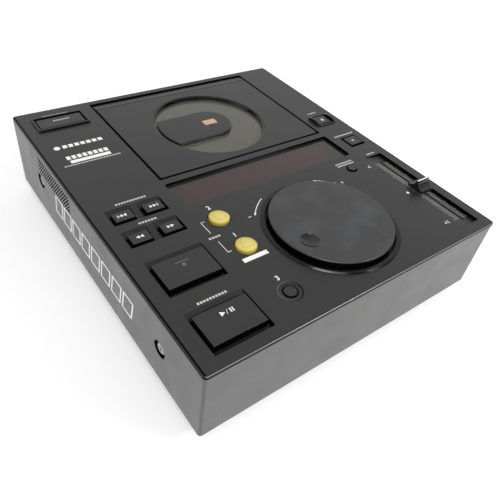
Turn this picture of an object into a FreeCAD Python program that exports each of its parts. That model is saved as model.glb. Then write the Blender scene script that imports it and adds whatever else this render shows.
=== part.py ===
import FreeCAD, Part
import math
import os

from FreeCAD import Vector

# All lengths are millimetres. +X is the right side seen from the front, +Y the back, +Z up.
# The origin is the centre of the footprint on the plane that the feet stand on.

# Case
KEY_COLUMN_W = 78.5         # left edge of the top panel to the lid opening
LID_OPEN_W = 197.0
RIGHT_COLUMN_W = 44.5       # lid opening to the right edge of the panel
FRONT_ZONE_D = 150.0        # front edge of the panel to the display
DISPLAY_D = 40.0
DISPLAY_TO_LID = 8.0        # panel web between display and lid opening
LID_OPEN_D = 154.0
LID_REAR_INSET = 8.0        # back edge of the opening to the back edge of the panel
CASE_W = KEY_COLUMN_W + LID_OPEN_W + RIGHT_COLUMN_W
CASE_D = FRONT_ZONE_D + DISPLAY_D + DISPLAY_TO_LID + LID_OPEN_D + LID_REAR_INSET
CASE_H = 75.5               # bottom edge of the case wrap to the top of the panel
FOOT_CLEARANCE = 14.0       # floor to the bottom edge of the case wrap
PANEL_T = 3.0               # top panel wall
PANEL_CORNER_R = 3.4        # plan corners of the top panel
PANEL_EDGE_R = 1.3          # rounding of its upper edge
RIB_H = 4.0                 # locating rib under the panel
RIB_T = 1.5
PANEL_OVERHANG = 0.5        # how far the panel stands out over the case wrap
CASE_WALL = 2.0             # case wrap and rear panel wall
CASE_CORNER_R = 3.0         # vertical front corners of the wrap
FLANGE_W = 10.0             # inward flange along the bottom of the wrap
FLANGE_T = 1.5
BOTTOM_T = 1.5              # steel bottom plate

# Clearances
STATIC_GAP = 0.3            # between fitted pieces that do not move
FIT_GAP = 0.02              # radial, between a pin and the hole it is pressed in
RUN_GAP = 0.05              # radial, between a shaft and its bearing
MOVE_GAP = 0.6              # round a key or button in its opening
SLIP_GAP = 0.3              # between a moving face and its rest

# Disc lid, seen from above
LID_GAP = 1.8               # gap all round between lid and panel
LID_CORNER_R = 3.0
LID_T = 3.0
LID_STRIP = 12.0            # sloped strip along the hinge
LID_STRIP_DROP = 1.5
LID_CREASE = 0.8            # groove in front of the strip
WINDOW_R = 60.3             # rim of the round window
WINDOW_FRONT = 70.3         # window centre to the front edge of the lid opening
WINDOW_DEPTH = 4.5          # lid surface to window floor
WINDOW_T = 1.6
WINDOW_FLOOR_R = 57.0
WINDOW_FLANGE = 4.0         # how far its flange reaches under the lid
ARM_R = 24.0                # rounded end of the clamp arm, centred on the window
ARM_T = 1.6
ARM_GROOVE = 1.2            # groove between the arm's left end and the lid
ARM_SINK = 0.3              # arm surface below the lid surface
HINGE_BACK = 7.5            # hinge axis in front of the back edge of the lid opening
HINGE_DOWN = 5.0            # hinge axis below the lid surface
HINGE_PIN_R = 1.2
LUG_HALF = 1.7              # half thickness of the hinge lugs about the pin
EAR_R = 3.2
EAR_W = 7.0
EAR_INSET = 9.0             # lid opening side to the outer face of the ear's lug
LUG_W = 4.0
CATCH_W = 8.0
CATCH_T = 2.0
CATCH_DROP = 14.5           # lid underside to the bottom of the catch
CATCH_BARB = 2.5
BARB_Z0 = 2.4               # lower and upper edge of the barb's tip over the end of the blade
BARB_Z1 = 3.4
CATCH_FOOT = 8.0
CATCH_INSET = 9.0           # catch to the right side of the lid opening
CATCH_FRONT = 22.0          # catch centre to the front edge of the lid opening

# Disc bay and mechanism
BAY_R = 63.0                # round pocket for a 120 mm disc
BAY_WALL = 2.0
BAY_SHELF_DOWN = 7.5        # panel surface to the shelf round the pocket
BAY_FLOOR_DOWN = 16.5       # panel surface to the pocket floor
BAY_LEDGE = 2.0             # bay outer wall outside the lid opening
TABLE_R = 15.0
TABLE_T = 1.8
TABLE_UP = 2.0              # bay floor to the underside of the turntable
CONE_R = 7.3                # centring cone for a 15 mm disc hole
CONE_H = 1.4
NECK_R = 5.0
SPINDLE_SHAFT_R = 1.0
MOTOR_R = 12.0
MOTOR_H = 18.0
CLAMP_R = 15.0
CLAMP_T = 3.6
CLAMP_NECK_R = 9.5
CLAMP_FLANGE_R = 12.0
CLAMP_FLANGE_T = 1.2
DISC_T = 1.2                # the disc that the clamp and the turntable leave room for
CAGE_R = 17.0               # round cage under the arm that holds the clamp
CAGE_LIP_T = 1.2
DECK_T = 1.5                # steel deck of the mechanism
DECK_DOWN = 5.0             # bay floor to the top of the deck
DECK_LEFT = 37.0            # deck edges from the spindle axis
DECK_RIGHT = 95.0
DECK_HALF_D = 42.0
BUSH_R = 5.0
BUSH_HOLE_R = 2.0
BUSH_INSET = 8.0
ROD_R = 1.5
ROD_HALF_SPREAD = 20.0      # guide rods either side of the spindle axis
ROD_DOWN = 2.0              # deck underside to the rod axis
ROD_START = 10.0            # spindle axis to the inner rod lug
ROD_LENGTH = 69.0
LUG_T = 3.0
LENS_START = 24.0           # lens at the start of a disc
SLED_TRAVEL = 32.0
SLED_L = 24.0
SLED_HALF_W = 17.0
SLED_H = 11.0
TURRET_R = 4.5
LENS_R = 2.6
LENS_T = 0.8
LENS_BELOW_DISC = 2.2
GEAR_MODULE = 0.5
PINION_TEETH = 10
WHEEL_TEETH = 48
IDLER_TEETH = 16
GEAR_T = 2.5
RACK_LENGTH = 40.0
RACK_BAR = 5.0
RACK_FOOT = 0.34            # half width of a rack tooth at its foot and its tip, as shares of the pitch
RACK_TIP = 0.10
RACK_TOOTH = 1.7            # tooth height in modules
GEAR_STUD_R = 1.0
SLED_MOTOR_R = 8.0
SLED_MOTOR_H = 15.0

# Display
DISPLAY_OUT = 0.5           # display opening wider than the lid opening, each side
DISPLAY_CORNER = 2.5
DISPLAY_GLASS_T = 2.0
DISPLAY_LEDGE = 3.0
TUBE_INSET_X = 20.0
TUBE_INSET_Y = 5.0
TUBE_H = 8.0
BOARD_T = 1.6

# Key wells along the left side
WELL_LEFT = 15.0            # left edge of the panel to the wells
WELL_W = 50.5
SKIRT_T = 1.6
SKIRT_DOWN = 11.0           # panel surface to the bottom of the well walls
SLOPE_RUN = 5.6             # sloped lip behind each key
SLOPE_DROP = 3.5
BIG_WELL_D = 40.0
PLAY_WELL_FRONT = 11.0      # front edge of the panel to the play key's well
CUE_WELL_GAP = 18.0         # panel between the play and cue wells
BIG_KEY_W = 46.0
BIG_KEY_D = 29.0
BIG_KEY_FRONT_GAP = 5.0
BIG_KEY_RISE = 2.2
BIG_KEY_ANGLE = 3.0         # degrees of travel
SMALL_WELL_D = 20.5
SEARCH_WELL_GAP = 19.0      # panel between the cue and search wells
TRACK_WELL_GAP = 9.5
SMALL_KEY_W = 17.4
SMALL_KEY_D = 12.3
SMALL_KEY_FRONT_GAP = 2.0
SMALL_KEY_SHIFT = 0.3       # key towards the ridge from the middle of its half of the well
SMALL_KEY_RISE = 1.3
SMALL_KEY_ANGLE = 4.0
RIDGE_W = 6.0
RIDGE_DROP = 4.0
KEY_EDGE_R = 0.8
KEY_FLANGE_T = 1.6
KEY_FLANGE_DOWN = 4.9       # panel surface to the top of the key's flange
KEY_WALL = 1.8
KEY_ROD_R = 1.0
KEY_ROD_DOWN = 9.0
KEY_ROD_BACK = 3.0          # rear wall of the well to the rod
KEY_BOSS_R = 2.2
KEY_EAR_W = 2.5
KEY_PLUNGER_R = 2.0
KEY_PLUNGER_AT = 0.45       # place of the plunger as a share of the well's depth

# Boards under the panel
BOARD_DOWN = 19.0           # panel surface to the top of the control boards
DISPLAY_BOARD_DOWN = 13.9
POST_R = 2.0
SWITCH_SIZE = 6.0
SWITCH_H = 3.4
MAINS_SWITCH_W = 16.0
MAINS_SWITCH_D = 12.0

# Round and square buttons
LOOP_R = 9.2
LOOP_HOLE_R = 10.2
LOOP_X = 95.3               # left edge of the panel to the loop buttons
LOOP_IN_Y = 87.3            # front edge of the panel to each
LOOP_OUT_Y = 126.7
LOOP_RISE = 4.6
LOOP_RIM = 1.8              # straight side of the dome over the panel
RELOOP_Y = 30.7
RELOOP_R = 5.3
RELOOP_HOLE_R = 6.0
RELOOP_DISH_R = 10.5
RELOOP_DISH_DEPTH = 1.5
TIME_X = 62.0               # right edge of the panel to the time button
TIME_Y = 129.0
TIME_R = 4.4
TIME_HOLE_R = 5.4
TIME_RISE = 1.2
BUTTON_TRAVEL = 1.5
BUTTON_FLANGE_T = 1.2
BUTTON_FLANGE = 1.6
BUTTON_STEM_R = 2.0
MASTER_X = 21.4             # right edge of the panel to the master key's centre
MASTER_Y = 21.2             # its centre in front of the back edge of the display
MASTER_WELL_W = 20.6
MASTER_WELL_D = 19.2
MASTER_W = 16.8
MASTER_D = 14.6
MASTER_RISE = 0.8
OPEN_X = 23.0               # right edge of the panel to the open button's guard centre
OPEN_Y = 2.0                # its centre in front of the lid catch
GUARD_W = 24.8
GUARD_D = 21.0
GUARD_WALL = 1.8
GUARD_H = 3.5
GUARD_LOW_H = 1.0
OPEN_W = 17.6
OPEN_D = 14.8
OPEN_RISE = 1.0
OPEN_TRAVEL = 2.5
POWER_X = 39.25             # left edge of the panel to the power button's centre
POWER_REAR = 28.5           # back edge of the panel to it
BEZEL_W = 52.5
BEZEL_D = 26.0
BEZEL_WALL = 2.2
BEZEL_H = 2.0
BEZEL_SLEEVE = 0.7          # wall of the bezel's sleeve in the panel
BEZEL_FOOT = 3.0            # how far the bezel's sleeve goes down into the panel
POWER_W = 45.4
POWER_D = 17.6
POWER_RISE = 1.2
POWER_TRAVEL = 2.5
LATCH_ARM = 14.0            # latch pivot to the open button's stem
LATCH_PIVOT_DOWN = 23.5
LATCH_T = 2.6
LATCH_PLAY = 0.6            # stem of the open button over the lever
LATCH_W = 6.0
LATCH_PIN_R = 1.0
LATCH_BOSS_R = 2.6
NOSE_T = 1.8
CHEEK_T = 2.0

# Jog dial
JOG_Y = 74.5                # front edge of the panel to the dial's axis
JOG_R = 55.6
JOG_RISE = 7.0              # dial top over the panel
JOG_RING_R = 62.0
JOG_WELL_R = 57.2
JOG_RING_H = 1.6
JOG_WELL_DOWN = 5.0         # panel surface to the floor under the dial
JOG_FLOOR_T = 2.0
JOG_EDGE_R = 1.6
JOG_SKIRT = 3.0
JOG_TOP_T = 4.0
JOG_RIM_T = 3.5
DIMPLE_R = 8.8
DIMPLE_DEPTH = 3.1
DIMPLE_X = -36.5
DIMPLE_Y = -12.8
JOG_SHAFT_R = 3.0
JOG_SHAFT_SINK = 1.6        # top of the dial to the top of its shaft
JOG_HUB_R = 8.0
BEARING_UP = 5.0            # top of the bearing over the floor under the dial
BEARING_FLANGE_T = 1.6
BEARING_R = 7.0
BEARING_FLANGE_R = 12.0
BEARING_DOWN = 15.5
ENCODER_R = 22.0
ENCODER_T = 0.8
ENCODER_SLOTS = 36
ENCODER_SLOT_W = 1.2

# Tempo slider
TEMPO_W = 23.8
TEMPO_D = 126.0
TEMPO_RIGHT = 11.1          # right edge of the panel to the slider recess
TEMPO_FRONT = 11.0          # front edge of the panel to it
TEMPO_DEPTH = 3.3
TEMPO_SEAT_DOWN = 6.5
TEMPO_LEDGE = 1.5
TEMPO_WALL = 1.5
SLOT_FORWARD = 1.25         # slot in front of the middle of the recess
SLOT_W = 2.0
SLOT_LENGTH = 107.5
SLOT_X = 12.4               # recess left side to the slot's middle
KNOB_W = 16.4
KNOB_L = 18.0
KNOB_BASE_UP = 0.7
KNOB_END_UP = 3.2
KNOB_TOP_UP = 10.5
KNOB_RIDGE = 2.4
LEVER_T = 1.2
LEVER_L = 5.0
LEVER_DOWN = 16.0
TEMPO_TRAVEL = 48.0         # each way from the middle
SLIDER_W = 11.0
SLIDER_H = 12.0

# Sides, bottom and back
SCREW_Z = 38.0              # side screws above the bottom edge of the wrap
SCREW_FRONT_Y = 58.5        # front edge of the panel to the front pair
SCREW_REAR_Y = 65.0         # back edge of the panel to the rear pair
CUP_R = 7.5
CUP_DEPTH = 3.0
CUP_WALL = 1.2
SIDE_HEAD_R = 5.2
SIDE_HEAD_H = 2.2
SCREW_R = 1.5
SCREW_HEAD_R = 2.8
SCREW_HEAD_H = 1.2
CROSS_W = 1.1
VENT_Z0 = 48.7              # vent field above the bottom edge of the wrap
VENT_Z1 = 68.0
VENT_BACK = 65.0            # back edge of the panel to the vent field
VENT_L = 76.0
VENT_PITCH = 3.6
VENT_SLOT = 1.4
BRACKET_W = 18.0
BRACKET_H = 50.0
BRACKET_T = 1.5
BRACKET_FOOT = 12.0
FOOT_R = 15.0
FOOT_INSET = 42.0
PAD_R = 12.0
PAD_T = 3.0
PAD_SINK = 1.0
PILLAR_R = 3.2
PILLAR_INSET = 4.0          # pillar axis to the wrap's inner faces
PILLAR_REAR_INSET = 14.0
PILLAR_SCREW_LEN = 9.0
SPIGOT_R = 2.0
SPIGOT_H = 1.5
REAR_SCREW_LEN = 6.0
REAR_LUG_W = 9.0
REAR_LUG_D = 6.5
JACK_BAY_W = 120.0
JACK_BAY_H = 26.0
JACK_BAY_DEPTH = 11.0
JACK_Z = 26.0               # jack row above the bottom edge of the wrap
JACK_PITCH = 20.0
JACK_R = 4.15
JACK_LENGTH = 9.0
JACK_BORE_R = 1.6
JACK_FLANGE_R = 6.0
JACK_FLANGE_T = 1.0
JACK_BODY_W = 12.0
JACK_BODY_D = 10.0
MINI_JACK_R = 4.0
MINI_JACK_OUT = 3.0
MINI_NUT_T = 1.6
MINI_BODY_D = 14.0
MINI_BORE_R = 1.8
MINI_BORE_LEN = 12.0
INLET_X = -115.0
INLET_W = 26.0
INLET_H = 20.0
INLET_L = 24.0
SOCKET_W = 18.0
SOCKET_H = 10.0
SOCKET_DEPTH = 15.0
SOCKET_PIN_R = 1.2
SOCKET_PIN_BACK = 4.0       # pin ends inside the mouth of the socket
SOCKET_PIN_PITCH = 8.6
SPACER_R = 3.0
SPACER_H = 7.0
BOARD_INSET = 12.0          # boards from the inner faces of the case
SPACER_INSET = 6.0
MAIN_BOARD_X = 47.5         # left edge of the main board from the middle of the case
MAIN_BOARD_D = 165.0
CHIP = 14.0
CHIP_H = 2.0
CHIP_PITCH_X = 34.0
CHIP_PITCH_Y = 44.0
PLUG_W = 20.0
PLUG_D = 6.0
PLUG_H = 8.0
PLUG_PITCH = 30.0
POWER_BOARD_W = 80.0
POWER_BOARD_D = 90.0
CAN_R = 6.5
CAN_H = 24.0
CAN_PITCH = 18.0
FIN_T = 1.4
FIN_L = 12.0
FIN_PITCH = 8.0
TRANSFORMER_BACK = 12.0     # transformer in front of the supply board
TRANSFORMER_W = 56.0
TRANSFORMER_D = 52.0
TRANSFORMER_H = 42.0
CORE_SHARE = 0.55           # core depth and coil width as shares of the transformer
COIL_SHARE = 0.6

# Places worked out from the sizes above
LEFT = -CASE_W / 2
RIGHT = CASE_W / 2
FRONT = -CASE_D / 2
BACK = CASE_D / 2
CASE_Z0 = FOOT_CLEARANCE
PANEL_Z = CASE_Z0 + CASE_H
UNDER_Z = PANEL_Z - PANEL_T
WRAP_X = RIGHT - PANEL_OVERHANG
WRAP_FRONT = FRONT + PANEL_OVERHANG
WRAP_BACK = BACK - PANEL_OVERHANG
INNER_X = WRAP_X - CASE_WALL
INNER_FRONT = WRAP_FRONT + CASE_WALL
INNER_BACK = WRAP_BACK - CASE_WALL
DECK_Z = CASE_Z0 + FLANGE_T + BOTTOM_T

LID_X0 = LEFT + KEY_COLUMN_W
LID_X1 = RIGHT - RIGHT_COLUMN_W
CENTRE_X = (LID_X0 + LID_X1) / 2
LID_Y1 = BACK - LID_REAR_INSET
LID_Y0 = LID_Y1 - LID_OPEN_D
LID_UNDER = PANEL_Z - LID_T
WINDOW_Y = LID_Y0 + WINDOW_FRONT
WINDOW_Z = PANEL_Z - WINDOW_DEPTH
WINDOW_UNDER = WINDOW_Z - WINDOW_T
HINGE_Y = LID_Y1 - HINGE_BACK
HINGE_Z = PANEL_Z - HINGE_DOWN
CATCH_X = LID_X1 - CATCH_INSET
CATCH_Y = LID_Y0 + CATCH_FRONT
CATCH_Z0 = LID_UNDER - CATCH_DROP

BAY_SHELF_Z = PANEL_Z - BAY_SHELF_DOWN
BAY_FLOOR_Z = PANEL_Z - BAY_FLOOR_DOWN
BAY_X0 = LID_X0 - BAY_LEDGE
BAY_X1 = LID_X1 + BAY_LEDGE
BAY_Y0 = LID_Y0 - BAY_LEDGE
BAY_Y1 = LID_Y1 + BAY_LEDGE
BAY_BOTTOM = BAY_FLOOR_Z - BAY_WALL
TABLE_Z = BAY_FLOOR_Z + TABLE_UP
TABLE_TOP = TABLE_Z + TABLE_T
CONE_TOP = TABLE_TOP + CONE_H
CLAMP_Z = TABLE_TOP + DISC_T
DECK_TOP = BAY_FLOOR_Z - DECK_DOWN
DECK_UNDER = DECK_TOP - DECK_T
DECK_X0 = CENTRE_X - DECK_LEFT
DECK_X1 = CENTRE_X + DECK_RIGHT
ROD_Z = DECK_UNDER - ROD_DOWN
ROD_X0 = CENTRE_X + ROD_START
ROD_X1 = ROD_X0 + ROD_LENGTH
LENS_X = CENTRE_X + LENS_START
SLED_Z0 = ROD_Z - 5.5
SLED_Z1 = SLED_Z0 + SLED_H
LENS_Z = TABLE_TOP - LENS_BELOW_DISC
PINION_R = GEAR_MODULE * PINION_TEETH / 2
WHEEL_R = GEAR_MODULE * WHEEL_TEETH / 2
IDLER_R = GEAR_MODULE * IDLER_TEETH / 2
RACK_Y = WINDOW_Y - SLED_HALF_W - RACK_BAR - GEAR_MODULE
GEAR_X = LENS_X + SLED_L / 2 + 7.0
GEAR_Y = RACK_Y - IDLER_R
PINION_X = GEAR_X + WHEEL_R + PINION_R
BRACKET_TOP = SLED_Z0 - SLIP_GAP - GEAR_T - SLIP_GAP
BRACKET_UNDER = BRACKET_TOP - DECK_T

DISPLAY_Y1 = LID_Y0 - DISPLAY_TO_LID
DISPLAY_Y0 = DISPLAY_Y1 - DISPLAY_D
DISPLAY_X0 = LID_X0 - DISPLAY_OUT
DISPLAY_X1 = LID_X1 + DISPLAY_OUT

WELL_X0 = LEFT + WELL_LEFT
WELL_X1 = WELL_X0 + WELL_W
WELL_X = (WELL_X0 + WELL_X1) / 2
SKIRT_Z = PANEL_Z - SKIRT_DOWN
KEY_ROD_Z = PANEL_Z - KEY_ROD_DOWN
KEY_FLANGE_Z = PANEL_Z - KEY_FLANGE_DOWN - KEY_FLANGE_T
PLAY_WELL_Y = FRONT + PLAY_WELL_FRONT
CUE_WELL_Y = PLAY_WELL_Y + BIG_WELL_D + CUE_WELL_GAP
SEARCH_WELL_Y = CUE_WELL_Y + BIG_WELL_D + SEARCH_WELL_GAP
TRACK_WELL_Y = SEARCH_WELL_Y + SMALL_WELL_D + TRACK_WELL_GAP
BIG_WELLS = {"play_key": PLAY_WELL_Y, "cue_key": CUE_WELL_Y}
SMALL_WELLS = {"search": SEARCH_WELL_Y, "track": TRACK_WELL_Y}
BOARD_Z = PANEL_Z - BOARD_DOWN
DISPLAY_BOARD_Z = PANEL_Z - DISPLAY_BOARD_DOWN
SWITCH_TOP = BOARD_Z + SWITCH_H

LOOP_PX = LEFT + LOOP_X
LOOP_PLACES = {"loop_out_button": FRONT + LOOP_OUT_Y, "loop_in_button": FRONT + LOOP_IN_Y}
RELOOP_PY = FRONT + RELOOP_Y
TIME_PX = RIGHT - TIME_X
TIME_PY = FRONT + TIME_Y
MASTER_PX = RIGHT - MASTER_X
MASTER_PY = DISPLAY_Y1 - MASTER_Y
OPEN_PX = RIGHT - OPEN_X
OPEN_PY = CATCH_Y - OPEN_Y
POWER_PX = LEFT + POWER_X
POWER_PY = BACK - POWER_REAR
LATCH_X = OPEN_PX - LATCH_ARM
LATCH_Z = PANEL_Z - LATCH_PIVOT_DOWN

JOG_PY = FRONT + JOG_Y
JOG_TOP = PANEL_Z + JOG_RISE
JOG_FLOOR = PANEL_Z - JOG_WELL_DOWN
JOG_BOTTOM = JOG_FLOOR + JOG_SKIRT
SHAFT_TOP = JOG_TOP - JOG_SHAFT_SINK
BEARING_TOP = JOG_FLOOR + BEARING_UP
BEARING_Z = PANEL_Z - BEARING_DOWN

TEMPO_X1 = RIGHT - TEMPO_RIGHT
TEMPO_X0 = TEMPO_X1 - TEMPO_W
TEMPO_Y0 = FRONT + TEMPO_FRONT
TEMPO_Y1 = TEMPO_Y0 + TEMPO_D
TEMPO_SEAT = PANEL_Z - TEMPO_SEAT_DOWN
SLOT_PX = TEMPO_X0 + SLOT_X
SLOT_PY = (TEMPO_Y0 + TEMPO_Y1) / 2 - SLOT_FORWARD
SLIDER_TOP = TEMPO_SEAT - TEMPO_LEDGE

SCREW_PZ = CASE_Z0 + SCREW_Z
SCREW_PY = (FRONT + SCREW_FRONT_Y, BACK - SCREW_REAR_Y)
CUP_FLOOR_X = WRAP_X - CUP_DEPTH
BRACKET_X = CUP_FLOOR_X - CUP_WALL
JACK_PZ = CASE_Z0 + JACK_Z
JACK_PLATE_Y = WRAP_BACK - JACK_BAY_DEPTH
FOOT_PLACES = [(sx * (RIGHT - FOOT_INSET), sy * (BACK - FOOT_INSET)) for sx in (-1, 1) for sy in (-1, 1)]
LEFT_POSTS_X = (WELL_X0 - SKIRT_T - POST_R - 1, WELL_X1 + SKIRT_T + POST_R + 1)
LEFT_POSTS_Y = (PLAY_WELL_Y + 7.0, CUE_WELL_Y - CUE_WELL_GAP / 2, SEARCH_WELL_Y - SEARCH_WELL_GAP / 2)
JOG_POSTS = [(CENTRE_X - 53.0, JOG_PY - 52.0), (CENTRE_X + 57.0, JOG_PY - 52.0),
             (CENTRE_X - 53.0, JOG_PY + 56.0), (CENTRE_X + 57.0, JOG_PY + 58.0)]
RIGHT_POSTS = [(MASTER_PX + dx, MASTER_PY + dy) for dx in (-12.0, 12.0) for dy in (-16.0, 32.0)]
SWITCH_POSTS = [(POWER_PX - 31.0, POWER_PY), (POWER_PX + 31.0, POWER_PY)]
DISPLAY_POSTS = [(x, y) for x in (DISPLAY_X0 - DISPLAY_LEDGE - POST_R - 0.5,
                                  DISPLAY_X1 + DISPLAY_LEDGE + POST_R + 0.5)
                 for y in (DISPLAY_Y0, DISPLAY_Y1)]
PILLARS = [
    (sx * (INNER_X - PILLAR_INSET), y)
    for sx in (-1, 1)
    for y in (INNER_FRONT + PILLAR_INSET, INNER_BACK - PILLAR_REAR_INSET)
]


def box(x0, x1, y0, y1, z0, z1):
    return Part.makeBox(x1 - x0, y1 - y0, z1 - z0, Vector(x0, y0, z0))


def block(x, y, w, d, z0, z1):
    return box(x - w / 2, x + w / 2, y - d / 2, y + d / 2, z0, z1)


def cyl(x, y, z0, z1, r):
    return Part.makeCylinder(r, z1 - z0, Vector(x, y, z0))


def cyl_x(x0, x1, y, z, r):
    return Part.makeCylinder(r, x1 - x0, Vector(x0, y, z), Vector(1, 0, 0))


def cyl_y(x, y0, y1, z, r):
    return Part.makeCylinder(r, y1 - y0, Vector(x, y0, z), Vector(0, 1, 0))


def join(shapes):
    first, rest = shapes[0], shapes[1:]
    return first.multiFuse(rest).removeSplitter() if rest else first


def rounded(x0, x1, y0, y1, z0, z1, r):
    """Upright block with round plan corners."""
    core = [box(x0 + r, x1 - r, y0, y1, z0, z1), box(x0, x1, y0 + r, y1 - r, z0, z1)]
    posts = [cyl(x, y, z0, z1, r) for x in (x0 + r, x1 - r) for y in (y0 + r, y1 - r)]
    return join(core + posts)


def edges_at(shape, z):
    """Edges of a shape that lie in one level plane."""
    level = 1e-4
    return [e for e in shape.Edges if abs(e.BoundBox.ZMin - z) < level and abs(e.BoundBox.ZMax - z) < level]


def prism_x(points, x0, x1):
    """Polygon in the YZ plane drawn out along X."""
    wire = Part.makePolygon([Vector(x0, y, z) for y, z in points + points[:1]])
    return Part.Face(wire).extrude(Vector(x1 - x0, 0, 0))


def prism_y(points, y0, y1):
    """Polygon in the XZ plane drawn out along Y."""
    wire = Part.makePolygon([Vector(x, y0, z) for x, z in points + points[:1]])
    return Part.Face(wire).extrude(Vector(0, y1 - y0, 0))


def turned(points, x, y):
    """Solid of revolution about an upright axis from (radius, height) points."""
    wire = Part.makePolygon([Vector(r, 0, z) for r, z in points + points[:1]])
    solid = Part.Face(wire).revolve(Vector(0, 0, 0), Vector(0, 0, 1), 360)
    solid.translate(Vector(x, y, 0))
    return solid


def mirror_sides(shape):
    return shape.mirror(Vector(0, 0, 0), Vector(1, 0, 0))


# Case

def well_cut(x0, x1, y0, y1):
    """Space of a key well: open through the panel, with a sloped rear lip."""
    top = PANEL_Z + 1
    lip = y1 - SLOPE_RUN
    lip_z = PANEL_Z - SLOPE_DROP
    shaft = box(x0, x1, y0, lip, SKIRT_Z - 1, top)
    slope = prism_x([(lip, top), (lip, lip_z), (y1, PANEL_Z), (y1, top)], x0, x1)
    under = box(x0, x1, lip, y1, SKIRT_Z - 1, lip_z - SKIRT_T)
    return join([shaft, slope, under])


def well_skirt(x0, x1, y0, y1):
    return box(x0 - SKIRT_T, x1 + SKIRT_T, y0 - SKIRT_T, y1 + SKIRT_T, SKIRT_Z, UNDER_Z)


def ridge(y0, y1):
    """Web between a pair of search keys, falling towards the front."""
    points = [(y0, SKIRT_Z), (y1, SKIRT_Z), (y1, PANEL_Z), (y0, PANEL_Z - RIDGE_DROP)]
    return prism_x(points, WELL_X - RIDGE_W / 2, WELL_X + RIDGE_W / 2)


def rod_place(y1):
    return y1 - KEY_ROD_BACK


def board_spacers():
    """Spacers that hang the boards under the top panel."""
    places = [(x, y) for x in LEFT_POSTS_X for y in LEFT_POSTS_Y]
    places += JOG_POSTS + RIGHT_POSTS
    spacers = [cyl(x, y, BOARD_Z, UNDER_Z, POST_R) for x, y in places]
    return spacers + [cyl(x, y, DISPLAY_BOARD_Z, UNDER_Z, POST_R) for x, y in DISPLAY_POSTS]


def locating_rib():
    """Rib under the panel that centres it inside the wrap."""
    x = INNER_X - STATIC_GAP
    y0, y1 = INNER_FRONT + STATIC_GAP, INNER_BACK - STATIC_GAP
    rib = box(-x, x, y0, y1, UNDER_Z - RIB_H, UNDER_Z)
    for px, py in PILLARS:
        rib = rib.cut(cyl(px, py, UNDER_Z - RIB_H - 1, UNDER_Z, PILLAR_R + STATIC_GAP))
    return rib.cut(box(-x + RIB_T, x - RIB_T, y0 + RIB_T, y1 - RIB_T, UNDER_Z - RIB_H - 1, UNDER_Z))


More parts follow.
